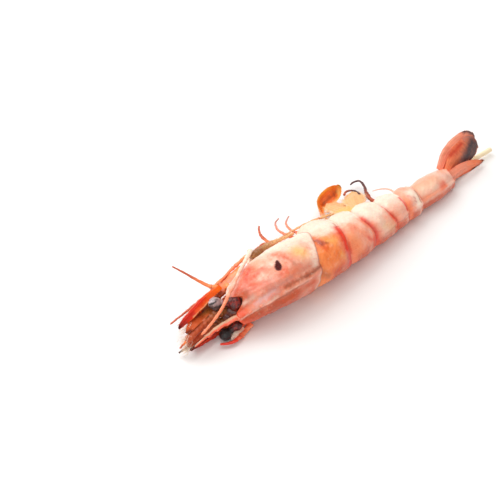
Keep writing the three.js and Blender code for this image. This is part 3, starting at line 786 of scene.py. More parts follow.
@dataclass(frozen=True)
class LeafFinish:
    """Thin leaves: a body colour that turns at a share of the length, an edge, veins and a tip."""

    name: str
    root: Tint
    middle: Tint
    tip: Tint
    middle_at: float
    tip_at: float
    edge: Tint
    edge_share: float
    streaks: float
    shine: float = 0.35

    def material(self) -> bpy.types.Material:
        """Builds the shader."""
        g = Graph(self.name)
        across, cloud, fine = g.mark("across"), g.noise(3.0, 3.0, 0.6), g.noise(0.6, 3.0, 0.6)
        wander = g.mark("along") + (cloud - 0.5) * 0.28
        veins = (across * 26.0 + cloud * 5.0).sine()
        colour = g.layers(
            self.root,
            (wander.step(self.middle_at - 0.25, self.middle_at + 0.15), self.middle),
            (veins.step(0.1, 0.9) * self.streaks * 0.5, self.edge),
            (abs(across).step(0.72, 0.98) * self.edge_share, self.edge),
            (wander.step(self.tip_at - 0.1, self.tip_at + 0.14), self.tip),
        )
        colour = g.layers(g.painted(colour, fine), (fine.step(0.6, 0.8) * 0.12, Tint.BROWN))
        relief = veins * min(0.35, self.streaks) + fine * 0.5
        return g.finish(
            colour, 0.44 + fine * 0.14, relief, 0.12, (0.06, 0.2), (0.8, 0.25, 0.12), shine=self.shine)


@dataclass(frozen=True)
class EyeFinish:
    """An eye: a glossy cornea of its own colour on a maroon stalk."""

    name: str
    cornea: Tint

    def material(self) -> bpy.types.Material:
        """Builds the shader."""
        g = Graph(self.name)
        cloud = g.noise(1.6, 3.0, 0.6)
        cornea = g.layers(self.cornea, (cloud.step(0.5, 0.75) * 0.35, Tint.GREY))
        stalk = g.layers(Tint.MAROON, (cloud.step(0.45, 0.7), Tint.DEEP_RED))
        colour = g.painted(g.layers(stalk, (g.mark("along").step(0.55, 0.72), cornea)), cloud)
        return g.finish(colour, 0.3 + cloud * 0.25, g.cells(0.22) * 0.5 + cloud * 0.8, 0.08, (0.3, 0.12))


@dataclass(frozen=True)
class TissueFinish:
    """Soft dark tissue between the eyes and the mouth."""

    name: str
    dark: Tint
    light: Tint

    def material(self) -> bpy.types.Material:
        """Builds the shader."""
        g = Graph(self.name)
        cloud = g.noise(2.2, 4.0, 0.65)
        specks = g.noise(0.8, 2.0).step(0.6, 0.8) * 0.4
        colour = g.layers(self.dark, (cloud.step(0.4, 0.68), self.light), (specks, Tint.TAN))
        return g.finish(colour, 0.3 + cloud * 0.2, cloud, 0.4, (0.4, 0.15))


@dataclass(frozen=True)
class HairFinish:
    """Bristles, paler toward their points."""

    name: str
    root: Tint
    tip: Tint

    def material(self) -> bpy.types.Material:
        """Builds the shader."""
        g = Graph(self.name)
        colour = g.layers(self.root, (g.mark("along").step(0.1, 0.8), self.tip))
        return g.finish(colour, 0.5 + g.noise(1.0) * 0.1)


@dataclass(frozen=True)
class BambooFinish:
    """Split bamboo: long pale fibres, with a scorched hint toward the cut end."""

    name: str

    def material(self) -> bpy.types.Material:
        """Builds the shader."""
        g = Graph(self.name)
        fibres = g.noise(0.28, 2.0, 0.6, (26.0, 1.0, 1.0))
        colour = g.layers(
            Tint.STRAW,
            (fibres.step(0.35, 0.7), Tint.BAMBOO),
            (fibres.step(0.68, 0.8) * 0.4, Tint.TAN),
            ((1.0 - g.mark("along").step(0.3, 0.62)) * 0.45, Tint.ORANGE),
            (g.noise(3.0, 2.0, 0.5, (5.0, 1.0, 1.0)).step(0.6, 0.75) * 0.18, Tint.TAN),
        )
        return g.finish(colour, 0.62 + fibres * 0.15, fibres)


# ------------------------------------------------------------------------------ carapace
@dataclass(frozen=True)
class Rim:
    """Where a shell plate's edge runs: millimetres along the axis by degrees round from the back."""

    knots: tuple[tuple[float, float], ...]

    def at(self, angle: Array) -> Array:
        """The edge at angles in radians: a cubic through the knots, which repeat every full turn."""
        table = np.array(self.knots, float)
        round_trip = np.vstack([table - (360.0, 0.0), table, table + (360.0, 0.0)])
        return through(round_trip[:, 0], round_trip[:, 1:], np.degrees(angle))[..., 0]


HEAD_RIM = Rim((
    (-130, -8), (-90, -7), (-41, -5.1), (-29, -4.3), (-7, -2.7), (7, -1.9), (28, -0.8), (63, 2.9), (95, 6.4),
    (128, 3), (180, -5),
))


@dataclass
class Carapace:
    """The shield over head and chest, with its ridge, grooves, front opening, rear cuff and rostrum."""

    mouth_rim: Rim = Rim((
        (-130, -41), (-100, -46), (-74, -49), (-48, -45.5), (-24, -47.4), (0, -49), (16, -47.6), (30, -44.2),
        (48, -43), (70, -46.5), (90, -47), (130, -41), (180, -37),
    ))
    columns: int = 230
    rows: int = 220
    keel: float = 1.15
    keel_width: float = float(np.radians(6.0))
    groove: float = 0.6
    hollow: float = 0.12
    lip: float = 1.1
    mouth: float = 3.0
    rim: float = 0.75
    cuff: float = 3.0
    dent: float = 0.24
    finish: ShellFinish = ShellFinish(
        "carapace shell", Tint.PINK, Tint.CREAM, 32, 92, 0.1, 0.5, Tint.CORAL, 0.16, 0.62,
    )
    marks: tuple[Stroke, ...] = strokes(
        # painted highlight: the wide cream band high on the lit right flank
        (Tint.CREAM, 4.6, 0.9, -27, 121, -19, 112, -12, 108, -3, 106, 4, 98),
        (Tint.CREAM, 3.4, 0.8, -25.5, 88, -22, 84), (Tint.CREAM, 2.8, 0.75, -33.5, 70, -28.6, 44),
        (Tint.PINK, 3.4, 0.8, -18, 88, -15.4, 71, -13.6, 52), (Tint.CORAL, 1.8, 0.45, -18, 80, -15.8, 62),
        (Tint.SALMON, 4.8, 0.7, -27, 92, -34, 78, -39, 58, -43, 42),
        (Tint.CORAL, 3.0, 0.75, -30.3, 104, -36.2, 85, -41, 68, -44, 58),
        (Tint.CORAL, 2.0, 0.7, -36, 70, -32, 66, -29, 70, -27, 60),
        (Tint.CORAL, 1.8, 0.5, -38, 50, -34, 40, -30, 34),
        (Tint.CORAL, 2.6, 0.45, -31, 88, -35.5, 74, -37.4, 64, -36, 56),
        (Tint.RUST, 3.2, 0.26, -31, 88, -35.4, 72, -38, 62), (Tint.PINK, 2.6, 0.6, -30, 56, -26, 50),
        (Tint.PINK, 2.0, 0.6, -24.4, 80, -21, 76), (Tint.SALMON, 2.6, 0.5, -19, 22, -15, 26, -23, 18),
        (Tint.PALE_PINK, 2.0, 0.6, -16, 40, -12, 36, -8, 33), (Tint.RED, 1.1, 0.55, -31, 92, -36.4, 78),
        (Tint.CORAL, 1.3, 0.6, -37.6, 66, -27.6, 69), (Tint.MAUVE, 3.2, 0.55, -41.6, 58, -39, 43),
        (Tint.RUST, 2.6, 0.85, -43.6, 56, -42.8, 46, -42.6, 36, -43.6, 28),
        (Tint.CREAM, 1.3, 0.5, -43.5, 26, -39.8, 26), (Tint.MAUVE, 2.6, 0.4, -34, 34, -24, 30),
        (Tint.BROWN, 4.2, 0.3, -15.2, 26, -11.6, 21, -7, 16), (Tint.MAUVE, 1.6, 0.4, -31.5, 20, -29, 14),
        (Tint.CORAL, 2.2, 0.12, -19, 22, -12, 27), (Tint.CREAM, 2.2, 0.75, 0.2, 44, -3.6, 27, -4.2, 12),
        (Tint.CREAM, 3.0, 0.6, 3.5, 92, 0, 60, -2.4, 40), (Tint.BROWN, 1.8, 0.5, -41, 48, -41, 32),
        (Tint.BROWN, 1.1, 0.34, -13.8, 33, -15.7, 62), (Tint.YELLOW, 3.4, 0.75, -8.3, 58, -7.2, 50),
        # painted shade: the mauve line in the groove beside the ridge
        (Tint.MAUVE, 1.5, 0.7, -37, 10, -30.5, 13, -26.4, 14, -19, 14),
        (Tint.BROWN, 1.7, 0.4, -31, -12, -27, -6, -21, -5),
        (Tint.CORAL, 2.6, 0.4, -10, -30, -7, -20, -6, -10),
        (Tint.RUST, 3.0, 0.5, -30, -24, -22, -20, -14, -18, -8, -12),
        (Tint.BROWN, 2.4, 0.35, -44, -20, -36, -26, -28, -30),
        # Along the ridge: the thin pale pink and cream lines are painted highlight, the mauve and lilac
        # lines beside them painted shade.
        (Tint.PALE_PINK, 0.6, 0.5, -10, -3, -18, -2, -26, 0),
        (Tint.CREAM, 0.8, 0.5, -30, 0, -37, -2, -43, -4, -48, -4),
        (Tint.BROWN, 0.9, 0.6, -12, -6, -24, -8, -36, -10, -46, -12),
        (Tint.BROWN, 1.1, 0.9, -2, 6, -8.6, 4, -15, 5, -24, 6),
        (Tint.BROWN, 0.9, 0.45, -22, 6, -28, 5, -33, 4), (Tint.MAUVE, 1.0, 0.5, -28, 5, -34, 4, -42, 2),
        (Tint.MAROON, 0.55, 0.4, -3, 5, -9, 3, -13, 3), (Tint.LILAC, 0.8, 0.3, -29, 11, -34, 10, -40, 8),
        (Tint.BLUSH, 2.6, 0.6, -5.4, -34, -4.6, -20, -4, -8),
        (Tint.PALE_PINK, 1.0, 0.9, -5.8, -46, -4.9, -29, -3.3, -7),
    )
    scorch: tuple[Stroke, ...] = (
        Stroke(((-22, 47), (-21.4, 52)), 1.5, Tint.MAROON, 1.0, 2.2),
        Stroke(((-21.2, 54), (-20.2, 62)), 1.1, Tint.MAROON, 1.0, 2.0),
    )

    def reliefs(self, x: Array, angle: Array, keel: Array) -> Array:
        """Height over the plain section: ridge, side grooves, hollow belly, cheek lines and dents."""
        size = np.abs(angle)
        belly = BODY.girth(x)[..., 2]
        ridge = self.keel * bell(angle, self.keel_width)
        channels = -self.groove * bell(size - 2.2 * self.keel_width, self.keel_width)
        under = -self.hollow * belly * bell(np.pi - size, np.radians(34.0))
        cheek = -0.34 * bell(x + 33.0 - 9.0 * (size - 1.0), 1.4)
        cheek = cheek * smooth(0.45, 0.8, size) * smooth(2.0, 1.5, size)
        fold = 0.3 * bell(size - 0.62 + 0.012 * (x + 40.0), 0.07) * smooth(-46, -38, x) * smooth(-16, -26, x)
        gill = -0.2 * bell(size - np.radians(96.0) + 0.004 * x, 0.05) * smooth(-34, -26, x)
        slim = -1.5 * bell(angle + np.radians(66.0), np.radians(34.0)) * bell(x + 37.0, 15.0)
        places, dents = BODY.skin(x, angle), ((self.dent, 11.0, 4), (0.1, 4.0, 5), (0.035, 1.5, 6))
        uneven = sum(height * ripple(places, length, seed) for height, length, seed in dents)
        plain = keel * (ridge + channels) + under + cheek + fold + gill + slim
        return plain + uneven * smooth(-0.2, 0.6, keel)

    def shell(self) -> Skin:
        """The shield: rows from the mouth over the outside to the bottom of the rear cuff."""
        angle = round_the_body(self.columns)
        front, rear = self.mouth_rim.at(angle), HEAD_RIM.at(angle)
        t = np.linspace(0.0, 1.0, self.rows)[1:-1]
        plate = np.stack([t, np.zeros_like(t), -0.35 * np.sin(np.pi * t), np.ones_like(t)], axis=-1)
        profile = np.vstack([
            (0, self.mouth, self.lip + 1.0, 0), (0, 1.4, self.lip + 0.4, 0.2), (0, 0.3, self.lip, 0.4),
            (0, -0.1, 0.8, 0.7), (0, 0.0, 0.35, 0.9), (0, 0.25, 0.1, 1), plate,
            (1, -0.5, -0.1, 1), (1, -0.2, -0.06, 0.95), (1, 0.0, 0.12, 0.9), (1, 0.03, 0.4, 0.6),
            (1, -0.1, self.rim, 0.3), (1, -1.0, self.rim, 0), (1, -self.cuff, self.rim, 0),
        ])
        share, shift, inset, keel = (column[:, None] for column in profile.T)
        x = front + (rear - front) * share + shift
        turn = np.broadcast_to(angle, x.shape)
        plain = BODY.skin(x, turn)
        return Skin().tube(
            above(BODY.skin(x, turn, inset, self.reliefs(x, turn, keel)), 0.0), along=share,
            turn=np.degrees(np.abs(turn)), side=np.sin(turn), paint=painted(plain, self.marks, on_shell, 41),
            scorch=painted(plain, self.scorch, on_shell, 43)[..., 3],
        )

    def build(self) -> None:
        """Makes the carapace and its rostrum as one piece."""
        skin = self.shell()
        Rostrum().blade(skin, self.keel)
        skin.piece("carapace_shell", self.finish.material(), "shell_head", ["carapace"])


@dataclass
class Rostrum:
    """The crest that runs out of the ridge into a long toothed blade with a horn-coloured face."""

    root: float = -27.0
    base: float = -48.0
    tip: float = -74.0
    dip: float = 3.4
    rise: float = 1.6
    depth: float = 4.4
    tip_depth: float = 0.7
    thick: float = 2.6
    tip_thick: float = 0.6
    teeth: int = 7
    first_tooth: float = -33.0
    pitch: float = 5.4
    tooth: float = 1.2
    lower_teeth: tuple[float, ...] = (-60.0, -66.0)
    steps: int = 300
    columns: int = 36

    def saw(self, x: Array, tips: Sequence[float], length: float, height: float) -> Array:
        """Forward-leaning teeth: each rises slowly toward its point and drops steeply in front of it."""
        teeth = [smooth(tip - 0.5, tip, x) * np.clip(1 - (x - tip) / length, 0, 1) ** 1.5 for tip in tips]
        return height * np.max(teeth, axis=0)

    def blade(self, skin: Skin, keel: float) -> None:
        """Adds the blade: a lens-shaped section with a side rib, whose two edges carry the teeth."""
        x = np.linspace(self.root, self.tip, self.steps)
        t = np.clip((x - self.base) / (self.tip - self.base), 0, 1)
        depth = blend(self.depth, self.tip_depth, t**1.4)
        half = blend(self.thick, self.tip_thick, t) / 2
        sunk = np.where(x > self.base, 0.5, 0.5 + self.dip * np.sin(np.pi * np.minimum(t, 0.5)))
        ridge = BODY.girth(np.maximum(x, self.base))[:, 1] + keel - sunk + self.rise * t**3
        upper = [self.first_tooth - k * self.pitch for k in range(self.teeth)]
        top = ridge + self.saw(x, upper, self.pitch * 0.85, self.tooth)
        bottom = ridge - depth - self.saw(x, self.lower_teeth, 3.0, self.tooth * 0.7)
        turn = around(self.columns)[None]
        c, s = np.cos(turn), np.sin(turn)
        z = (top + bottom)[:, None] / 2 + (top - bottom)[:, None] / 2 * c
        y = half[:, None] * (s * (0.35 + 0.65 * np.abs(s)) + 0.22 * np.sign(s) * bell(c + 0.15, 0.16))
        far = 0.85 * smooth(-46.0, -52.0, x)[:, None]
        face, far = np.broadcast_arrays(smooth(0.75, 0.3, np.abs(c)), far)
        horn, coral = np.array(Tint.HORN.value[:3]), np.array(Tint.CORAL.value[:3])
        paint = np.concatenate([coral + (horn - coral) * face[..., None], far[..., None]], axis=-1)
        skin.tube(BODY.at(x[:, None], y, z), along=0.5, turn=20.0, side=0.1 * s, paint=paint)


# ------------------------------------------------------------------------------ abdomen
@dataclass
class Ring:
    """One ring of the abdomen: a neck tucked under the rim in front, a plate with side flaps, and a cuff."""

    name: str
    front: Rim
    rear: Rim
    pleura: float
    carina: float
    finish: ShellFinish
    seed: int
    marks: tuple[Stroke, ...]
    cuff: float
    columns: int = 170
    rows: int = 64
    rim: float = 0.75
    tuck: float = 2.0
    step: float = 0.7
    gap: float = 0.32
    dent: float = 0.16
    swell: float = 0.35

    def build(self) -> None:
        """Makes the ring: rows from inside the neck over the swelling plate to the bottom of the cuff."""
        angle = round_the_body(self.columns)
        throat = self.rim + self.gap
        t = np.linspace(0.02, 0.985, self.rows)
        drops = np.array([throat, self.step, 0.22, 0.0, -0.1, -0.05])
        drop = through((0, 0.1, 0.3, 0.6, 0.84, 1.0), drops[:, None], t)[:, 0]
        flap = np.interp(t, (0, 0.12, 0.34, 0.6, 0.84, 1), (0, 0.55, 1, 1, 0.8, 0.45))
        plate = np.stack([t, self.gap * (1 - t), drop, flap, np.ones_like(t)], axis=-1)
        profile = np.vstack([
            (0, -self.tuck, throat + 0.6, 0, 0), (0, 0.5 - self.tuck, throat, 0, 0),
            (0, self.gap, throat, 0, 0.3), plate,
            (1, -0.1, -0.02, 0.35, 0.9), (1, 0.0, 0.14, 0.3, 0.8), (1, 0.02, 0.4, 0.2, 0.5),
            (1, -0.1, self.rim, 0, 0.2), (1, -1.0, self.rim, 0, 0), (1, -self.cuff, self.rim, 0, 0),
        ])
        share, shift, inset, flap, full = (column[:, None] for column in profile.T)
        before, behind = self.front.at(angle), self.rear.at(angle)
        x = before + (behind - before) * share + shift
        turn = np.broadcast_to(angle, x.shape)
        degrees = np.degrees(np.abs(turn))
        lobe = flap * self.pleura * bell(degrees - 128.0, 17.0)
        under = 0.1 * BODY.girth(x)[..., 2] * bell(180.0 - degrees, 30.0)
        keel = self.carina * (bell(degrees, 6.0) - 0.4 * bell(degrees - 13.0, 5.0)) * smooth(0.0, 0.3, share)
        puff = self.swell * np.sin(np.pi * np.clip(share, 0, 1)) * smooth(150, 100, degrees)
        pinch = -0.2 * bell(share - 0.9, 0.03) * smooth(150, 100, degrees)
        rough = BODY.skin(x, turn, inset, lobe - under)
        uneven = self.dent * ripple(rough, 8.0, self.seed) + 0.06 * ripple(rough, 2.6, self.seed + 50)
        places = BODY.skin(x, turn, inset, lobe - under + full * (keel + puff + pinch + uneven))
        paint = painted(BODY.skin(x, turn), self.marks, on_shell, self.seed + 20)
        skin = Skin().tube(above(places, 0.0), along=share, turn=degrees, side=np.sin(turn), paint=paint)
        skin.piece(f"{self.name}_shell", self.finish.material(), "shell_tail", [self.name])


def abdomen() -> list[Ring]:
    """The six rings, from the front one to the long last one."""
    rims = [
        HEAD_RIM,
        Rim((
            (-130, 19.5), (-80, 19), (-22, 17.9), (12, 17.9), (35, 19), (59, 20.2), (90, 22.5),
            (130, 22), (180, 19),
        )),
        Rim((
            (-130, 37.4), (-80, 36.4), (-15, 36.4), (10, 36.6), (30, 35.4), (50, 34.2), (87, 35),
            (130, 37), (180, 37),
        )),
        Rim((
            (-130, 53.6), (-80, 54), (-1, 53.4), (29, 51.8), (65, 50.4), (100, 50.8), (130, 52.4),
            (180, 53),
        )),
        Rim(((-130, 65), (-60, 64.4), (3, 64), (32, 64.4), (65, 64.6), (91, 65.2), (130, 65.4), (180, 65))),
        Rim(((-130, 77), (-60, 75.6), (6, 75), (60, 75.4), (100, 76.2), (180, 77))),
        Rim(((-130, 103), (-60, 102.6), (0, 102.2), (60, 102), (100, 103), (180, 103))),
    ]
    # In each ring's strokes, the wide cream stroke at about 86 to 100 degrees is a painted highlight high on
    # the lit right flank.
    plates = (
        ((3.4, 0.0), (Tint.ORANGE, Tint.CREAM, 46, 74, 0.5, 0.2, Tint.ORANGE, 0.5), (
            (Tint.CREAM, 6.0, 0.9, 10, 100, 15, 96, 21, 93),
            (Tint.ORANGE, 2.6, 0.85, 3.6, 70, 0.8, 39, -0.4, 13, -1.4, -8),
            (Tint.ORANGE, 4.4, 0.6, 8, 30, 6, 10), (Tint.CORAL, 2.8, 0.45, 15.4, 46, 14.4, 18, 13.6, -6),
            (Tint.DEEP_ORANGE, 1.9, 0.6, 9.6, 9, 10.8, -3), (Tint.DEEP_ORANGE, 1.6, 0.4, 3, 14, 5, 2),
            (Tint.BROWN, 2.2, 0.6, -1.4, -12, 1.5, -24), (Tint.YELLOW, 2.2, 0.5, 8, 46, 12, 38),
            (Tint.DEEP_ORANGE, 2.0, 0.95, 3.6, 68, 4.4, 60, 4.8, 52, 4.8, 42, 5.4, 32),
            (Tint.BURNT, 1.4, 0.95, 4.4, 60, 4.9, 52, 4.8, 44), (Tint.BURNT, 0.9, 0.7, 5.0, 47, 7.6, 41),
            (Tint.GOLD, 1.8, 0.4, 12, 4, 15, -10),
            (Tint.RED, 1.9, 0.95, 18.6, 64, 17.6, 35, 16.4, 12, 16.5, -5, 16.4, -26),
            (Tint.BROWN, 0.5, 0.5, 20.6, 84, 19.4, 66), (Tint.MAUVE, 1.6, 0.5, 15.4, -2, 15.2, -20),
        )),
        ((2, 0.1), (Tint.SALMON, Tint.CREAM, 44, 72, 0.45, 0.35, Tint.SALMON, 0.3, 0.35), (
            (Tint.RED, 1.0, 0.7, 20.8, 56, 19.8, 30, 18.8, 8, 18.6, -6),
            (Tint.PALE_PINK, 4.0, 0.5, 22.6, 44, 25.4, 20, 27.4, 2),
            (Tint.CREAM, 5.4, 0.9, 24, 96, 30, 92, 36, 88), (Tint.ORANGE, 3.4, 0.5, 22, 30, 24, 4, 24, -14),
            (Tint.PALE_PINK, 2.4, 0.7, 30, 60, 31, 36), (Tint.RED, 1.1, 0.6, 36.4, -5, 33.6, -5, 31.6, 4),
            (Tint.PALE_PINK, 1.3, 0.6, 34, 20, 34.6, 8),
        )),
        ((1.8, 0.25), (Tint.SALMON, Tint.CREAM, 22, 58, 0.4, 0.4, Tint.CORAL, 0.2, 0.35), (
            (Tint.CREAM, 5.4, 0.9, 40, 98, 46, 92, 50, 88),
            (Tint.RED, 2.0, 0.95, 35.0, 56, 36.3, 27, 37.6, 2, 37, -14),
            (Tint.RED, 0.7, 0.7, 37.4, 4, 41, 0, 44, -2), (Tint.CREAM, 4.2, 0.75, 42, 44, 44, 12, 45, 0),
            (Tint.TAN, 2.6, 0.5, 45, 4, 50, -8), (Tint.RED, 0.85, 0.9, 50.4, 58, 51.6, 29, 52.9, 2),
            (Tint.BROWN, 0.5, 0.3, 44, -14, 52, -11),
        )),
        ((1.6, 0.45), (Tint.PINK, Tint.CREAM, 18, 52, 0.35, 0.5, Tint.CORAL, 0.2, 0.4, 0.12), (
            (Tint.CREAM, 4.6, 0.9, 54, 96, 60, 90, 64, 86), (Tint.SALMON, 1.8, 0.6, 55, 40, 56, 14),
            (Tint.PALE_PINK, 3.4, 0.7, 56, 40, 58, 22, 59, 6),
            (Tint.RED, 0.6, 0.85, 63.6, 64, 63.6, 36, 63.2, 8),
            (Tint.BROWN, 0.5, 0.35, 53, -10, 59, -9, 64, -2),
        )),
        ((1.3, 0.5), (Tint.PINK, Tint.BLUSH, 24, 60, 0.2, 0.6, Tint.SALMON, 0.35, 0.3, 0.12), (
            (Tint.SALMON, 1.8, 0.5, 66.4, 60, 66, 30, 65.6, 6),
            (Tint.SALMON, 2.6, 0.4, 72, 112, 73, 96, 73, 84),
            (Tint.CREAM, 3.2, 0.95, 71.6, 56, 72.6, 36, 72, 6), (Tint.MAUVE, 0.5, 0.7, 70.4, 22, 71, 16),
            (Tint.MAUVE, 0.7, 0.8, 71, 34, 71.4, 30), (Tint.MAUVE, 0.6, 0.7, 68.6, 52),
            (Tint.BROWN, 0.45, 0.7, 74.8, 62, 74.2, 30, 73.8, 6),
        )),
        ((0.5, 0.5), (Tint.PALE_PINK, Tint.BLUSH, 20, 50, 0.15, 0.0, Tint.CORAL, 0.05, 0.3, 0.2), (
            (Tint.TAN, 5.0, 0.3, 78, 60, 84, 44, 88, 30), (Tint.SALMON, 2.0, 0.8, 78, 8, 86, 4, 94, 2),
            (Tint.CORAL, 2.2, 0.85, 90.7, 12, 93, 17), (Tint.CREAM, 3.2, 0.6, 95.5, 64, 98, 40, 98.5, 22),
            (Tint.PALE_PINK, 2.2, 0.85, 98.5, 30, 98.5, 6),
            (Tint.MAUVE, 2.6, 0.42, 97.2, 56, 98.4, 40, 99.2, 26),
            (Tint.CREAM, 3.2, 0.4, 80, 40, 84, 26, 88, 22), (Tint.CORAL, 0.5, 0.7, 101.6, 66, 101.6, -5),
        )),
    )
    return [
        Ring(f"abdomen_{k}", front, rear, *form, ShellFinish(f"shell of ring {k}", *look), 10 + k,
             strokes(*marks), cuff=3.0 if k < len(plates) else 1.5)
        for k, (front, rear, (form, look, marks)) in enumerate(zip(rims, rims[1:], plates), 1)
    ]


# ------------------------------------------------------------------------------ limbs
@dataclass
class Limb:
    """A jointed limb: a tapering tube, a little flat, that swells before each joint and pinches at it."""

    name: str
    path: Path
    radius: tuple[float, float]
    finish: LimbFinish
    slot: str
    joints: tuple[float, ...] = ()
    seed: int = 1
    steps: int = 90
    sides: int = 16
    flat: float = 0.82
    bristles: int = 0
    stands_for: bool = True

    def girth(self, t: Array) -> tuple[Array, Array]:
        """Radius by share of the length, and how near a joint each share is."""
        near = swell = np.zeros_like(t)
        for joint in self.joints:
            near = near + bell(t - joint, 0.014)
            swell = swell + (bell(t - joint + 0.04, 0.05) + 0.6 * bell(t - joint - 0.035, 0.03))
        ends = np.sqrt(np.clip(np.minimum(t / 0.012, (1 - t) / 0.02), 0.02, 1.0))
        radius = blend(self.radius[0], self.radius[1], t) * (1 + 0.26 * swell - 0.3 * near) * ends
        return radius, near

    def build(self) -> None:
        """Makes the limb with its bristles."""
        track = Track(BODY.route(self.path))
        t, turn = np.linspace(0.0, 1.0, self.steps), around(self.sides)
        line = track.at(t)[:, None]
        first, second = (side[:, None] for side in square_to(track.heading(t), (0.17, 0.33, 0.93)))
        radius, near = self.girth(t)
        thick = radius[:, None]
        places = line + first * (thick * np.cos(turn))[..., None]
        places += second * (self.flat * thick * np.sin(turn))[..., None]
        places += unit(places - line) * (0.1 * thick * ripple(places, 2.2, self.seed))[..., None]
        skin = Skin().tube(above(places, 0.05), along=t[:, None], joint=near[:, None])
        if self.bristles:
            rng = np.random.default_rng(self.seed)
            share = rng.uniform(0.25, 0.98, self.bristles)
            ahead = track.heading(share)
            out = unit(np.cross(ahead, unit(rng.normal(size=(self.bristles, 3)))))
            roots = track.at(share) + out * (np.interp(share, t, radius) * 0.8)[:, None]
            lengths = rng.uniform(0.7, 1.7, self.bristles)
            skin.hairs(above(roots, 0.3), unit(out + ahead * 0.9), lengths, 0.05, self.seed)
        nodes = [self.name] if self.stands_for else []
        skin.piece(f"{self.name}_limb", self.finish.material(), self.slot, nodes)


@dataclass
class Leaf:
    """A thin leaf along a path, with a rib, wavy edges and a fringe of bristles.

    The section is a lens across `across`; its edges bend out of plane by `cup`.
    """

    name: str
    path: Path
    across: Point
    width: float
    root_width: float
    thick: tuple[float, float]
    finish: LeafFinish
    slot: str
    peak: float = 0.6
    tip: float = 0.25
    cup: tuple[float, float] = (0.0, 0.0)
    rib: float = 0.25
    wave: float = 0.2
    seed: int = 1
    fringe: int = 0
    fringe_length: float = 1.6
    fringe_from: float = 0.35
    ease: float = 1.0
    marks: tuple[Stroke, ...] = ()
    stands_for: bool = True
    blunt: float = 2.4
    steps: int = 90
    sides: int = 64
    waves: float = 21.0

    def wide(self, t: Array) -> Array:
        """Width by share of the length: a quarter sine to the widest place, then a rounded end."""
        climb = np.sin(np.pi / 2 * np.minimum(t / self.peak, 1.0)) ** self.ease
        rise = blend(self.root_width, self.width, climb)
        beyond = np.clip((t - self.peak) / (1 - self.peak), 0, 1)
        fall = np.sqrt(np.maximum(1 - beyond**self.blunt, self.tip**2))
        return rise * np.where(t > self.peak, fall, 1.0)

    def frames(self, t: Array) -> tuple[Array, Array, Array, Array]:
        """Centre line, heading, width direction and face normal."""
        track = Track(BODY.route(self.path))
        line, way = track.at(t), track.heading(t)
        sine, cosine = np.sin(BODY.roll), np.cos(BODY.roll)
        x, y, z = self.across
        across = np.array([x, y * cosine - z * sine, y * sine + z * cosine])
        normal = unit(np.cross(way, across))
        return line, way, np.cross(normal, way), normal

    def middle(self, share: Array, across: Array) -> Array:
        """Places in the leaf's middle plane by share of the length and -1 to 1 across."""
        line, _, wide, normal = self.frames(share)
        cup = blend(*self.cup, share) * across**2
        return line + wide * (self.wide(share) / 2 * across)[:, None] + normal * cup[:, None]

    def build(self) -> None:
        """Makes the leaf and its fringe."""
        t, turn = np.linspace(0.0, 1.0, self.steps), around(self.sides)[None]
        line, _, wide, normal = (way[:, None] for way in self.frames(t))
        share, c, s = t[:, None], np.cos(turn), np.sin(turn)
        half, thick = self.wide(t)[:, None] / 2, blend(*self.thick, share) / 2
        bulge = thick * s * (0.3 + 0.7 * s * s) + np.sign(s) * self.rib * thick * bell(c, 0.14)
        cup = blend(*self.cup, share) * c * c
        wavy = self.wave * c * c * np.sin(share * self.waves + self.seed) * smooth(0.1, 0.5, share)
        places = line + wide * (half * c)[..., None] + normal * (bulge + cup + wavy)[..., None]
        places += normal * (0.12 * ripple(places, 4.0, self.seed) * smooth(0.05, 0.3, share))[..., None]
        places = above(places, 0.05)
        paint = painted(places, self.marks, self.middle, self.seed)
        skin = Skin().tube(places, along=share, across=c, paint=paint)
        if self.fringe:
            self.add_fringe(skin)
        nodes = [self.name] if self.stands_for else []
        skin.piece(f"{self.name}_leaf", self.finish.material(), self.slot, nodes)

    def add_fringe(self, skin: Skin) -> None:
        """Adds bristles that stand out of both edges and round the tip."""
        rng = np.random.default_rng(self.seed + 7)
        share = np.sort(rng.uniform(self.fringe_from, 0.995, self.fringe))
        edge = np.where(rng.random(self.fringe) < 0.5, -1.0, 1.0)
        line, way, wide, normal = self.frames(share)
        cup = blend(*self.cup, share) + self.wave * np.sin(share * self.waves + self.seed)
        roots = line + wide * (edge * (self.wide(share) / 2) * 0.97)[:, None] + normal * cup[:, None]
        lean = smooth(0.7, 1.0, share)
        ways = unit(wide * (edge * (1 - 0.6 * lean))[:, None] + way * (0.7 + lean)[:, None])
        lengths = self.fringe_length * rng.uniform(0.6, 1.1, self.fringe)
        skin.hairs(above(roots, 0.2), unit(above(ways, -0.05)), lengths, 0.05, self.seed, 0.15)


LEG_PALE = LimbFinish("pale leg", Tint.CREAM, Tint.SALMON, 0.5, Tint.RUST, Tint.PALE_PINK)
LEG_TAN = LimbFinish("tan leg", Tint.TAN, Tint.SALMON, 0.4)
LEG_RUST = LimbFinish("rusty leg", Tint.ORANGE, Tint.RUST, 0.4, mottle=Tint.SALMON)
LEG_RED = LimbFinish("red leg", Tint.SALMON, Tint.RED, 0.45, mottle=Tint.ORANGE)
LEG_PINK = LimbFinish("pink leg", Tint.SALMON, Tint.MAUVE, 0.6)
LEG_FAINT = LimbFinish("faint leg", Tint.PALE_PINK, Tint.BLUSH, 0.5, Tint.PINK)
LEG_DARK = LimbFinish("scorched leg", Tint.RUST, Tint.MAROON, 0.3, Tint.MAROON, Tint.BROWN)
# The yellow mottle of the leg bases stands for golden highlights, painted.
LEG_BROWN = LimbFinish("brown leg base", Tint.OLIVE, Tint.TAN, 0.42, Tint.RUST, Tint.YELLOW)
LEG_GOLD = LimbFinish("golden strand", Tint.RUST, Tint.TAN, 0.25, Tint.RUST, Tint.YELLOW)
HORN = LimbFinish("head limb", Tint.OLIVE, Tint.RUST, 0.45, Tint.MAROON, Tint.CORAL, 0.45)


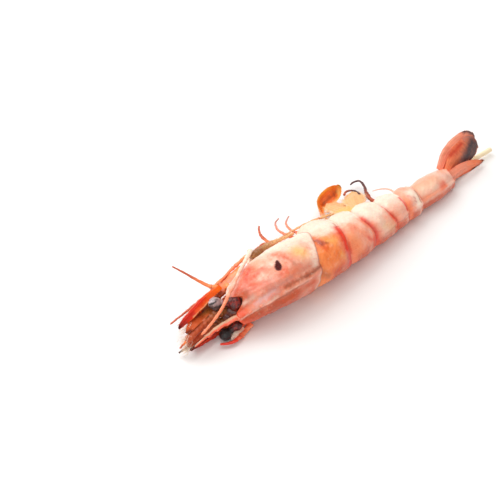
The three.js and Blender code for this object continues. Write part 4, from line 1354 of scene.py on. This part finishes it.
def head_limbs() -> list[Limb]:
    """Antennules, antennae and mouth limbs."""
    slot = "head_limb"
    return [
        Limb("antennule_right", ((-44, 2.4, -0.6), (-54, 3.1, -2), (-64, 3.4, -1), (-75, 2.2, 1.6)),
            (2.5, 1.8), HORN, slot, (0.3,), 21, flat=0.9, bristles=40, sides=24),
        Limb("antennule_left", ((-44, -2.6, -1), (-54, -2.2, -3), (-64, -1.8, -2.6), (-74.5, -1.7, 0)),
            (2.3, 1.4), HORN, slot, (0.36, 0.66), 22, flat=0.9, bristles=60, sides=24),
        Limb("antennule_whip_right", ((-75.4, 2.2, 1.7), (-78, 2.2, 2.6), (-80.4, 2.2, 3.8)), (0.75, 0.4),
            LEG_RUST, slot, seed=23, steps=30),
        Limb("antennule_whip_left", ((-74.9, -1.8, 0), (-77, -2.4, -1.4), (-78.4, -3.2, -3)), (0.75, 0.5),
            LEG_DARK, slot, seed=24, steps=30),
        Limb("antenna_right", ((-43.6, 9, -11.6), (-46, 10.6, -15), (-49, 15, -19), (-52, 20, -23),
            (-55.5, 25.2, -26.6)), (1.15, 0.45), LEG_RUST, slot, (0.12,), 25),
        Limb("antenna_base_right", ((-39, 6.8, -9.6), (-43, 7.2, -9.2), (-47.4, 7, -8.4)), (2.3, 1.8),
            LEG_RUST, slot, seed=26, steps=40, sides=24),
        Limb("antenna_base_left", ((-39, -5, -8), (-43.4, -4.6, -7.6), (-50, -4, -7)), (2, 1.2), LEG_RUST,
            slot, seed=27, steps=40, sides=24),
        Limb("maxilliped_right", ((-34, 2.4, -9.6), (-42, 2.2, -10.2), (-52, 2.6, -8.8), (-61, 3.2, -6.4)),
            (1.4, 0.6), LEG_RUST, slot, (0.4, 0.7), 28, bristles=80),
        Limb("maxilliped_left", ((-34, -1.6, -9.8), (-42, -1.2, -10.6), (-52, -0.9, -9.4),
            (-60, -0.7, -7.2)), (1.4, 0.6), LEG_TAN, slot, (0.4, 0.7), 29, bristles=80),
        Limb("maxilliped_outer_left", ((-41, -9.6, 3.2), (-46, -10.2, 4.2), (-51, -10, 6), (-56, -9.2, 6.4),
            (-60.4, -7.8, 4.4)), (1.9, 0.7), LEG_RED, slot, (0.45,), 30, flat=0.6),
    ]


def walking_legs() -> list[Limb]:
    """Ten walking legs: five of their own routes on the right, five folded flat on the left."""
    slot = "leg"
    joints = (0.3, 0.62)
    legs = [
        Limb("leg_1_right", ((-30, 5, -13.8), (-36, 7.4, -17), (-47, 7.4, -15.4), (-60, 8, -12.8),
            (-73.5, 7, -12.4)), (1.1, 0.5), LEG_RUST, slot, joints, 31, bristles=40),
        Limb("leg_2_right", ((-23.6, 7.6, -13.2), (-19.4, 12.2, -16), (-21, 13.8, -12.6), (-27, 14, -8),
            (-36, 13.6, -2), (-44, 12.2, 2.4), (-50.5, 10.2, 5), (-56, 7.8, 6.2), (-63, 4.6, 5.8),
            (-68.5, 2.6, 5.2)), (1.15, 0.7), LEG_PALE, slot, (0.14, 0.62), 32, steps=200, bristles=30),
        Limb("leg_3_right", ((-20.6, 4.6, -14.6), (-17, 8, -20.6), (-29, 8.6, -18.2), (-40.5, 9, -14.6)),
            (1.2, 0.6), LEG_TAN, slot, joints, 33, bristles=30),
        Limb("leg_4_right", ((-9.6, 5.2, -12.6), (-6, 8.4, -17.2), (-8.4, 10.4, -17.4), (-13.2, 11.6, -15.4),
            (-18.9, 12.8, -12.8)), (1.3, 0.7), LEG_RUST, slot, joints, 34, bristles=20),
        Limb("leg_5_right", ((-2.6, 5.4, -12), (-4.4, 7.8, -18), (-4, 9.2, -24.8), (-2.9, 10.4, -29.3),
            (-0.4, 11.2, -33.6), (2.3, 11.6, -36.9)), (1.1, 0.45), LEG_RUST, slot, joints, 35, bristles=20),
    ]
    bases = (
        (-22.4, 12, -10.1), (-14.6, 11.8, -12.2), (-7.9, 11.4, -12.7), (-0.5, 10.8, -12.6),
        (6.4, 10.2, -13.2),
    )
    strand = (
        (-11.6, 11.4, -11.1), (-1.9, 11, -13.7), (6.6, 10.6, -15.4), (14.7, 10, -16.4), (22.2, 9.4, -16.6),
        (28.9, 8.8, -15.7), (34.5, 8.0, -14.2),
    )
    legs += [
        Limb("leg_bases_right", bases, (2.2, 0.8), LEG_BROWN, slot, (0.2, 0.46), 46, sides=28, flat=0.7,
            bristles=120, stands_for=False),
        Limb("belly_strand_right", strand, (0.35, 0.9), LEG_GOLD, slot, (0.3, 0.55, 0.8), 47, steps=160,
            flat=0.6, bristles=60, stands_for=False),
    ]
    lanes = (1.6, -0.8, -3.0)
    first_hip, pitch, hip_side, run, drop, hollow = -31.0, 6.2, -3.6, 17.0, 4.6, 0.12

    def under(x: float) -> float:
        """Height of the belly's surface."""
        return -float(BODY.girth(x)[..., 2])

    for k in range(5):
        hip, lane = first_hip + k * pitch, lanes[k % len(lanes)]
        path = (
            (hip, hip_side, under(hip) * (1 - hollow) + 1),
            (hip - 1, blend(hip_side, lane, 0.75), under(hip) - 0.3 * drop),
            (hip - 0.28 * run, lane, under(hip) - 0.8 * drop),
            (hip - 0.6 * run, lane, under(hip - 0.6 * run) - drop),
            (hip - run, lane, under(hip - run) - 0.6 * drop),
        )
        legs.append(Limb(f"leg_{k + 1}_left", path, (1.1, 0.5), LEG_TAN, slot, joints, 36 + k, bristles=20))
    return legs


# ------------------------------------------------------------------------------ swimming legs
PADDLE = LeafFinish("paddle", Tint.CREAM, Tint.DEEP_ORANGE, Tint.GOLD, 0.34, 0.92, Tint.GOLD, 0.8, 0.5)
PADDLE_PALE = LeafFinish("pale paddle", Tint.TAN, Tint.TAN, Tint.RUST, 0.4, 1.05, Tint.CREAM, 0.3, 0.12)
PADDLE_GOLD = LeafFinish("golden paddle", Tint.YELLOW, Tint.TAN, Tint.TAN, 0.4, 0.9, Tint.CREAM, 0.4, 0.3)


def swimming_legs() -> list[Limb | Leaf]:
    """The swimming legs: cupped paddles, and the ones that dried to thin hooks."""
    slot = "swimmer"

    def paddle(
        name: str, path: Path, width: float, cup: float, seed: int, finish: LeafFinish = PADDLE_PALE,
        root: float = 2.2,
    ) -> Leaf:
        """One paddle, with the shape that they share."""
        form = (0.55, 0.25, (0.0, cup), 0.3, 0.6, seed, 220, 1.7, 0.2)
        return Leaf(name, path, (1, 0, 0.1), width, root, (1.65, 1.1), finish, slot, *form)

    left = (
        (((8, -2.6, -10.6), (9, -1.6, -18), (13, -0.4, -23)), 5, 0.6),
        (((27, -2.6, -9), (28, -1.6, -16.4), (32, -0.4, -21.5)), 6, 0.8),
        (((44, -2.2, -7.6), (45, -1.4, -14.6), (49, -0.4, -19)), 5.4, 0.8),
        (((58, -2, -6.6), (59, -1.2, -13), (62.5, -0.2, -17)), 4.8, 0.6),
        (((70, -1.8, -5.8), (71, -1, -11.6), (74, -0.2, -14.6)), 4, 0.5),
    )
    return [
        Limb("pleopod_1_right", ((9, 5.4, -10.6), (5.6, 8.2, -18.4), (4.9, 10.2, -24.3), (6.5, 11, -28.1),
            (9.6, 11.4, -32), (13.4, 11.6, -33.9)), (1.0, 0.36), LEG_PINK, slot, (0.3,), 51, bristles=20),
        Limb("pleopod_1_branch_right", ((12.6, 5.4, -10.6), (9.6, 9.2, -20.4), (11.8, 10.6, -26.4),
            (15.3, 11, -29.5), (18.2, 11, -31.6)), (0.95, 0.35), LEG_PINK, slot, (0.3,), 52, bristles=20),
        Leaf("pleopod_2_right", ((28, 6.2, -9), (29.9, 7, -18.2), (33.1, 8.4, -24.7), (38.3, 9.4, -28.7),
            (44.3, 11.8, -27.6), (49.4, 16, -23.7)), (0.404, -0.704, 0.582), 8.6, 1.8, (1.5, 1.1), PADDLE,
            slot, 0.78, 0.35, (-0.6, -2.2), 0.2, 0.25, 53, 120, 0.8, 0.3, 6.5, strokes(
                (Tint.DEEP_ORANGE, 2.4, 0.6, 0.6, 0.0, 0.95, 0.0),
                (Tint.RUST, 1.0, 0.6, 0.52, -0.3, 0.7, -0.45),
                (Tint.BURNT, 1.2, 0.95, 0.6, 0.25, 0.74, 0.12, 0.9, 0.2),
                (Tint.OLIVE, 0.7, 0.6, 0.66, 0.15, 0.8, 0.1),
                (Tint.GOLD, 1.2, 0.95, 0.5, -0.95, 0.7, -1.0, 0.88, -0.95),
                (Tint.YELLOW, 1.1, 0.95, 0.5, 0.95, 0.7, 1.0, 0.9, 0.95, 0.99, 0.0),
            )),
        paddle("pleopod_3_right", ((43.8, 6, -4.6), (44.5, 8.6, -7.5), (47.8, 10.2, -12.9),
            (53.3, 10.8, -20.4)), 12.0, 0.8, 54),
        Limb("pleopod_3_rim_right", ((49.2, 10.8, -22.4), (52.4, 10.8, -24.4), (54.6, 10.8, -23.6),
            (55.3, 10.8, -20.3), (53.6, 10.8, -14.4)), (0.65, 0.5), LEG_DARK, slot, seed=63, steps=60,
            stands_for=False),
        paddle("pleopod_3_branch_right", ((39.5, 6, -6.1), (38.4, 8.4, -8.0), (39.3, 9, -16.8),
            (39.2, 9.2, -25.7)), 11, 0.6, 55, PADDLE_GOLD, 10),
        Limb("pleopod_4_right", ((58, 4.4, -6.4), (57.6, 6.8, -12.4), (59.4, 8.4, -16.4), (63.7, 9.6, -22.7),
            (66.1, 10.4, -29.2), (63.8, 10.6, -30.7), (60.1, 10.6, -29.8)), (1.1, 0.45), LEG_DARK, slot,
            (0.3,), 56),
        Limb("pleopod_5_right", ((70.8, 4, -5.6), (71, 6, -10.6), (69.8, 6.8, -13.2), (67.2, 7.3, -15.4),
            (63.4, 7.8, -16.4)), (0.6, 0.24), LEG_FAINT, slot, (0.3,), 57),
        *(paddle(f"pleopod_{k}_left", *row, 57 + k) for k, row in enumerate(left, 1)),
    ]


# ------------------------------------------------------------------------------ head
@dataclass
class Eye:
    """An eye on its stalk: a maroon bulb at the root, a neck, and a domed cornea."""

    name: str
    root: Point
    centre: Point
    bulb: float
    bulb_at: float
    finish: EyeFinish
    seed: int
    shrivel: float
    radius: float = 3.2
    marks: tuple[Stroke, ...] = ()
    stalk: float = 1.7
    steps: int = 80
    sides: int = 64

    def axis(self) -> tuple[Array, Array, float]:
        """Root, unit direction and length of the stalk."""
        start, centre = BODY.route((self.root, self.centre))
        length = float(np.linalg.norm(centre - start))
        return start, (centre - start) / length, length

    def girth(self, d: Array) -> Array:
        """Radius at a distance from the root: the eighth-power mean of bulb, neck and cornea."""
        length = self.axis()[2]
        ball = np.sqrt(np.clip(self.bulb**2 - (d - self.bulb_at * length) ** 2, 0.0, None))
        dome = np.sqrt(np.clip(self.radius**2 - (d - length) ** 2, 0.0, None))
        neck = np.where((d > self.bulb_at * length) & (d < length), self.stalk, 0.0)
        return np.maximum((ball**8 + dome**8 + neck**8) ** 0.125, 0.02)

    def surface(self, share: Array, degrees: Array) -> Array:
        """Places by share of the distance from root to cornea, and degrees round the stalk."""
        start, way, length = self.axis()
        first, second = square_to(way, (0.2, 0.3, 0.9))
        turn, d = np.radians(degrees)[..., None], np.asarray(share)[..., None] * length
        return start + way * d + (first * np.cos(turn) + second * np.sin(turn)) * self.girth(d)

    def build(self) -> None:
        """Makes the eye, with a shrivelled cornea where it has one."""
        start, way, length = self.axis()
        first, last = self.bulb_at - self.bulb / length, 1.0 + self.radius / length
        share = first + (last - first) * (1 - np.cos(np.pi * np.linspace(0.0, 1.0, self.steps))) / 2
        degrees = np.linspace(0.0, 360.0, self.sides, endpoint=False)
        share, degrees = np.meshgrid(share, degrees, indexing="ij")
        places = self.surface(share, degrees)
        out = unit(places - start - way * (share * length)[..., None]) * 0.9 + way * 0.3
        swell = self.shrivel * ripple(places, 2.6, self.seed) * smooth(0.0, 1.2, self.girth(share * length))
        places = places + out * swell[..., None]
        paint = painted(places, self.marks, self.surface, self.seed)
        skin = Skin().tube(above(places, 0.05), along=share, paint=paint)
        skin.piece(f"{self.name}_ball", self.finish.material(), "eye", [self.name])


@dataclass
class Tissue:
    """Dark soft tissue that fills the front opening between the eyes and the mouth limbs."""

    start: float = -39.5
    end: float = -52.0
    steps: int = 40
    sides: int = 72

    def build(self) -> None:
        """Makes a lumpy plug: the body's section, inset more and more toward the front."""
        t = np.linspace(0.0, 1.0, self.steps)[:, None]
        x = blend(self.start, self.end, t)
        places = BODY.skin(x, around(self.sides)[None], 2.3 + 5.6 * t**2.2)
        places = places + 0.35 * ripple(places, 3.4, 9)[..., None] * unit(places - BODY.at(x, 0.0, 0.0))
        finish = TissueFinish("dark tissue", Tint.MAROON, Tint.BROWN)
        Skin().tube(above(places, 0.3)).piece("head_tissue", finish.material(), "head_limb")


@dataclass
class Beard:
    """Fine cream bristles round the mouth and between the antennal scales."""

    seed: int = 71
    tufts: tuple[tuple[Point, Point, int, float], ...] = (
        ((-70, 5.2, -3.0), (-1.0, 0.0, 0.3), 20, 4.4),
        ((-68, 6.0, -2.6), (-1.0, 0.1, 0.6), 22, 4.4),
        ((-75, 4.0, 1.6), (-1.0, 0.2, 0.5), 50, 3.0),
        ((-73, 1.6, 0.6), (-1.0, -0.1, 0.1), 34, 3.6),
        ((-74, -1.6, 0.6), (-1.0, -0.2, 0.3), 60, 4.2),
        ((-64, -2.6, -2.0), (-1.0, -0.3, 0.2), 16, 4.0),
        ((-60, 2.6, -7.0), (-1.0, 0.0, -0.2), 20, 4.0),
    )

    def build(self) -> None:
        """Makes the tufts: bristles from a small patch that fan out along the tuft's direction."""
        rng = np.random.default_rng(self.seed)
        skin = Skin()
        for centre, way, count, length in self.tufts:
            patch = np.array(centre) + rng.normal(size=(count, 3)) * (1.6, 0.8, 0.8)
            tips = patch + (unit(np.array(way)) + rng.normal(size=(count, 3)) * 0.28) * length
            roots, ends = (above(BODY.at(*places.T), 0.3) for places in (patch, tips))
            lengths = np.linalg.norm(ends - roots, axis=1) * rng.uniform(0.6, 1.0, count)
            skin.hairs(roots, unit(ends - roots), lengths, 0.1, self.seed + count, 0.1)
        skin.piece("beard", HairFinish("bristles", Tint.CREAM, Tint.STRAW).material(), "head_limb")


# Brush marks of the right eye: the wide black stroke low on the cornea is painted shade and the lilac stroke
# a painted highlight; the thin black and grey strokes are its shrivelled slits.
EYE_MARKS_AND_PAINTED_LIGHT = strokes(
    Stroke(((1.3, 150), (1.15, 160), (0.95, 166), (0.7, 170)), 1.3, Tint.BLACK, 0.95, 1.4),
    (Tint.MAROON, 2.4, 0.95, 1.25, 100, 0.9, 100), (Tint.LILAC, 0.9, 0.75, 1.3, 214, 1.2, 226, 1.1, 236),
    Stroke(((1.28, 196), (1.1, 206), (0.96, 222)), 0.6, Tint.BLACK, 1.0, 2.0),
    (Tint.GREY, 0.35, 0.8, 1.12, 238, 0.86, 246),
)


def head_parts() -> list[Eye | Leaf | Tissue | Beard]:
    """Eyes, antennal scales, the flap between them, soft tissue and bristles."""
    deep, pale, cream = Tint.DEEP_ORANGE, Tint.PALE_PINK, Tint.CREAM
    scale = LeafFinish("antennal scale", deep, Tint.VIVID_RED, Tint.MAROON, 0.3, 0.86, deep, 0.3, 0.2, 0.08)
    flap = LeafFinish("mouth flap", Tint.OLIVE, Tint.RUST, Tint.RUST, 0.4, 0.8, Tint.BROWN, 0.6, 0.8, 0.1)
    plate = LeafFinish("limb plate", Tint.ORANGE, Tint.SALMON, Tint.CORAL, 0.5, 0.92, pale, 0.4, 0.5)
    membrane = LeafFinish("cheek membrane", pale, cream, cream, 0.4, 0.9, Tint.PINK, 0.4, 0.3)
    shared = {"root_width": 3.4, "thick": (2.4, 1.2), "finish": scale, "slot": "scale", "peak": 0.4,
              "tip": 0.1, "rib": 0.3, "wave": 0.1, "fringe": 110, "fringe_length": 1.8, "fringe_from": 0.5}
    return [
        Eye("eye_right", (-45.5, 5, 3.6), (-53, 8.6, -1.5), 3.7, 0.05, EyeFinish("shrivelled eye",
            Tint.TAUPE), 81, 0.22, 3.2, EYE_MARKS_AND_PAINTED_LIGHT),
        Eye("eye_left", (-45.5, -4.6, 4), (-55, -6.4, 2.2), 2.7, 0.3, EyeFinish("dark eye", Tint.BLACK), 82,
            0.1, 3.0),
        Leaf("antennal_scale_right", ((-44.6, 10.6, -7.8), (-52, 10.7, -7.2), (-63, 9.1, -5.8),
            (-73.6, 6.8, -4.6)), (0.1, -0.25, 1), 5.6, seed=83, marks=strokes(
                # The pink stroke along one edge is a painted highlight on the lit rim; the tan along the
                # other edge is the membrane.
                (Tint.PINK, 0.5, 0.8, 0.2, -0.9, 0.7, -0.95), (Tint.TAN, 0.5, 0.8, 0.35, 0.95, 0.7, 0.95),
                (Tint.DEEP_ORANGE, 1.2, 0.5, 0.34, 0.5, 0.6, 0.5),
                (Tint.DEEP_RED, 1.4, 0.6, 0.66, 0.2, 0.8, 0.0),
            ), **shared),
        Leaf("antennal_scale_left", ((-45.4, -6.6, -5), (-54, -6.4, -3.6), (-64, -5.2, -1.6),
            (-74, -3.4, 0.6)), (0, 0.5, 1), 7.0, seed=84, **shared),
        Leaf("mouth_flap_right", ((-46, 7, -9), (-49.3, 6, -7.6), (-57.4, 6, -4.9), (-65.9, 5.9, -2),
            (-73, 5.2, 0.8)), (0, -0.35, 1), 6.4, 4, (1.2, 0.6), flap, "head_limb", 0.4, 0.3, (0.4, 0.4),
            seed=85, fringe=70, fringe_length=1.8, marks=strokes(
                (Tint.OLIVE, 2.2, 0.9, 0.3, 0.2, 0.5, 0.0), (Tint.MAROON, 1.0, 0.7, 0.45, -0.5, 0.6, -0.4),
                (Tint.BURNT, 1.6, 0.5, 0.55, 0.2, 0.72, 0.1), (Tint.MAROON, 1.3, 0.85, 0.94, 0.7, 0.99, 0.2),
            ), stands_for=False),
        Leaf("cheek_flap_left", ((-45.6, -8.1, 3.4), (-48.6, -8.7, 3.8), (-51.4, -8.8, 4.2),
            (-54, -8.6, 4.4)), (-0.1, 0.87, -0.48), 3.6, 2.4, (1.0, 0.5), membrane, "head_limb", 0.5, 0.4,
            (0.3, 0.5), seed=86, stands_for=False),
        Leaf("limb_plate_right", ((-26.5, 7.6, -16.6), (-31, 7.6, -14.6), (-36, 7.6, -12.8),
            (-43.5, 7.6, -11.6)), (0.1, 0, 1), 6.8, 2.6, (1.4, 0.8), plate, "head_limb", 0.7, 0.6,
            (0.2, 0.5), seed=87, marks=strokes(
                (Tint.BROWN, 0.6, 0.7, 0.2, -0.7, 0.5, -0.8, 0.85, -0.75),
                (Tint.MAUVE, 1.2, 0.6, 0.5, 0.3, 0.7, 0.4), (Tint.PALE_PINK, 1.0, 0.6, 0.35, 0.1, 0.45, 0.0),
            ), stands_for=False),
        Tissue(),
        Beard(),
    ]


# ------------------------------------------------------------------------------ tail
@dataclass
class Skewer:
    """The straight bamboo stick out of the tail, with a plain cut end."""

    radius: float = 1.3
    start: Point = (95, 0.9, -1.6)
    end: Point = (137.8, -1.6, -1.4)
    steps: int = 60
    sides: int = 40

    def build(self) -> None:
        """Makes the stick: a round section with fine flats, its cut edge rounded a little."""
        start, end = BODY.route((self.start, self.end))
        way, length = unit(end - start), float(np.linalg.norm(end - start))
        d = np.concatenate([np.linspace(0, length - 0.25, self.steps), length - np.array([0.12, 0.04, 0.0])])
        radius = np.full(len(d), self.radius)
        radius[-3:] = self.radius * np.array([0.98, 0.93, 0.85])
        turn = around(self.sides)
        first, second = square_to(way, (0.0, 0.0, 1.0))
        ring = first * np.cos(turn)[:, None] + second * np.sin(turn)[:, None]
        flats = 1.0 + 0.02 * np.cos(5 * turn + 0.6) - 0.012 * np.abs(np.sin(11 * turn))
        places = (start + way * d[:, None])[:, None] + ring[None] * (radius[:, None] * flats)[..., None]
        skin = Skin().tube(places, along=(d / length)[:, None])
        skin.piece("skewer_stick", BambooFinish("bamboo").material(), "bamboo", ["skewer"])


def tail_fan() -> list[Leaf | Skewer]:
    """Four leaves, the telson and the stick."""
    outer = LeafFinish("outer leaf", Tint.PINK, Tint.PINK, Tint.GREY, 0.5, 1.1, Tint.SALMON, 0.4, 0.4)
    inner = LeafFinish("inner leaf", Tint.SALMON, Tint.SALMON, Tint.GREY, 0.5, 1.0, Tint.SALMON, 0.2, 0.4)
    low = LeafFinish("low leaf", Tint.PINK, Tint.SALMON, Tint.RUST, 0.6, 0.95, Tint.CORAL, 0.3, 0.4)

    def leaf(
        name: str, path: Path, across: Point, root: float, width: float, tip: float,
        finish: LeafFinish, seed: int, marks: tuple[Stroke, ...] = (), blunt: float = 2.4,
    ) -> Leaf:
        """One leaf of the fan, with the shape that they share."""
        form = (0.62, tip, (0.5, 0.5), 0.4, 0.12, seed, 70, 0.7, 0.8, 1.0, marks, True, blunt)
        return Leaf(name, path, across, width, root, (1.3, 0.72), finish, "fan", *form)

    return [
        leaf("uropod_outer_right", ((101.8, 4, -3.2), (109, 9.4, -3.2), (117.4, 12.2, -1.6),
            (128.6, 11.4, -1.2)), (0.25, -1, 0.1), 6.0, 9.8, 0.4, outer, 91, strokes(
                (Tint.PALE_PINK, 0.8, 0.6, 0.1, -0.9, 0.4, -1.0, 0.66, -0.95),
                (Tint.VIVID_RED, 1.7, 0.65, 0.34, 0.2, 0.5, 0.25, 0.7, -0.05),
                (Tint.MAUVE, 1.4, 0.6, 0.78, 0.0, 0.88, -0.2),
                (Tint.GREY, 1.5, 0.95, 0.8, -1.0, 0.9, -0.95, 0.98, -0.6, 1.0, 0.2),
            ), 3.0),
        leaf("uropod_inner_right", ((101.8, 3, 0.6), (111.6, 6, -0.6), (120, 7.4, -0.2), (128, 8.5, 0)),
            (0, -1, 0.06), 4.0, 13.4, 0.6, inner, 92, strokes(
                (Tint.BROWN, 3.4, 0.6, 0.26, 0.3, 0.46, 0.3, 0.6, 0.2),
                (Tint.VIVID_RED, 1.7, 0.75, 0.34, -0.8, 0.48, -0.6, 0.64, -0.7),
                (Tint.MAUVE, 1.3, 0.75, 0.78, -0.95, 0.94, -0.9),
                (Tint.TAUPE, 2.4, 0.45, 0.46, 0.6, 0.56, 0.3),
                Stroke(((0.56, 0.75), (0.72, 0.25), (0.88, -0.2)), 3.8, Tint.GREY, 1.0, 1.1),
                (Tint.GREY, 3.0, 0.95, 0.76, 0.95, 0.95, 0.3),
                (Tint.MAROON, 1.7, 0.9, 0.3, 0.9, 0.5, 0.95, 0.7, 0.95),
            ), 3.6),
        leaf("uropod_outer_left", ((101.8, 1, -3.3), (112, 0.2, -6.6), (120, -1.2, -7.0), (129, -3.2, -6.0)),
            (0, -0.44, 0.9), 3.0, 5.4, 0.1, low, 93, blunt=1.3),
        leaf("uropod_inner_left", ((101.8, -2, -0.8), (112, -2.6, -2.6), (120, -3.6, -2.8),
            (131.4, -5.0, -2.0)), (0, -0.44, 0.9), 3.0, 4.8, 0.1, low, 94, blunt=1.2),
        Leaf("telson", ((101.8, 1.2, 2.2), (112, 1.4, 2.4), (119, 0, 2.2), (127, -2.6, 1.7)), (0, -1, 0),
            6.6, 6.2, (2.4, 0.9), low, "fan", 0.1, 0.1, (0.0, 0.0), 0.4, 0.05, 95, 60, 1.0, 0.5, blunt=1.3),
        Skewer(),
    ]


# ------------------------------------------------------------------------------ studio
@dataclass
class Studio:
    """A white sheet, a large soft light from behind on the left, and the camera."""

    azimuth: float = float(np.radians(-40.0))
    elevation: float = float(np.radians(45.0))
    distance: float = 800.0
    aim: Point = (0.0, 0.0, 11.5)
    aim_pixel: tuple[float, float] = (306.0, 264.0)
    frame: float = 500.0
    focal_pixels: float = 2.047 * 800.0
    sensor: float = 36.0

    def camera(self) -> None:
        """Places the camera so that the aim lands on its pixel with no lens shift."""
        a, e = self.azimuth, self.elevation
        back = np.array([np.sin(a) * np.cos(e), -np.cos(a) * np.cos(e), np.sin(e)])
        right = np.array([np.cos(a), np.sin(a), 0.0])
        up = np.cross(back, right)
        per_pixel = self.distance / self.focal_pixels
        aside = (self.aim_pixel[0] - self.frame / 2) * per_pixel
        above = (self.aim_pixel[1] - self.frame / 2) * per_pixel
        aim = np.array(self.aim) - np.array([*BODY.middle, 0.0])
        eye = (aim + back * self.distance - right * aside + up * above) * MM
        data = bpy.data.cameras.new("camera")
        data.sensor_width = self.sensor
        data.lens = self.sensor * self.focal_pixels / self.frame
        data.clip_start, data.clip_end = 0.01, 20.0
        camera = bpy.data.objects.new("camera", data)
        axes = Matrix((right, up, back)).transposed().to_4x4()
        camera.matrix_world = Matrix.Translation(Vector(eye)) @ axes
        bpy.context.scene.collection.objects.link(camera)
        bpy.context.scene.camera = camera

    def lamp(self, name: str, place: Point, size: float, power: float) -> None:
        """A square soft light that faces the prawn."""
        data = bpy.data.lights.new(name, "AREA")
        data.size, data.energy = size, power
        light = bpy.data.objects.new(name, data)
        light.location = place
        light.rotation_euler = (-Vector(place)).to_track_quat("-Z", "Y").to_euler()
        bpy.context.scene.collection.objects.link(light)

    def sheet(self) -> None:
        """The floor: a wide white sheet with a very slight tooth."""
        mesh = bpy.data.meshes.new("floor")
        half = 3.0
        corners = [(-half, -half, 0), (half, -half, 0), (half, half, 0), (-half, half, 0)]
        mesh.from_pydata(corners, [], [(0, 1, 2, 3)])
        g = Graph("white sheet")
        mesh.materials.append(g.finish((0.93, 0.93, 0.93, 1.0), 0.6 + g.noise(20.0) * 0.05))
        floor = bpy.data.objects.new("floor", mesh)
        bpy.context.scene.collection.objects.link(floor)
        floor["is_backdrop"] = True

    def build(self) -> None:
        """Sets the whole studio up."""
        self.camera()
        self.sheet()
        self.lamp("key", (-0.25, 0.85, 1.0), 1.3, 14.8)
        self.lamp("top", (0.1, 0.1, 1.3), 1.0, 4.6)
        self.lamp("front", (-0.9, -0.6, 0.7), 0.8, 4.0)
        world = bpy.data.worlds.new("studio")
        world.use_nodes = True
        sky = world.node_tree.nodes["Background"].inputs
        sky["Color"].default_value, sky["Strength"].default_value = (1.0, 0.94, 0.89, 1.0), 0.47
        scene = bpy.context.scene
        scene.world = world
        scene.view_settings.view_transform = "Standard"


def main() -> None:
    """Loads the frame, dresses it and sets up the studio."""
    logging.basicConfig(level=logging.INFO, format="%(name)s: %(message)s")
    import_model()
    Skin.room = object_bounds()
    Studio().build()
    Carapace().build()
    for part in (*abdomen(), *head_parts(), *head_limbs(), *walking_legs(), *swimming_legs(), *tail_fan()):
        part.build()


if __name__ == "__main__":
    main()
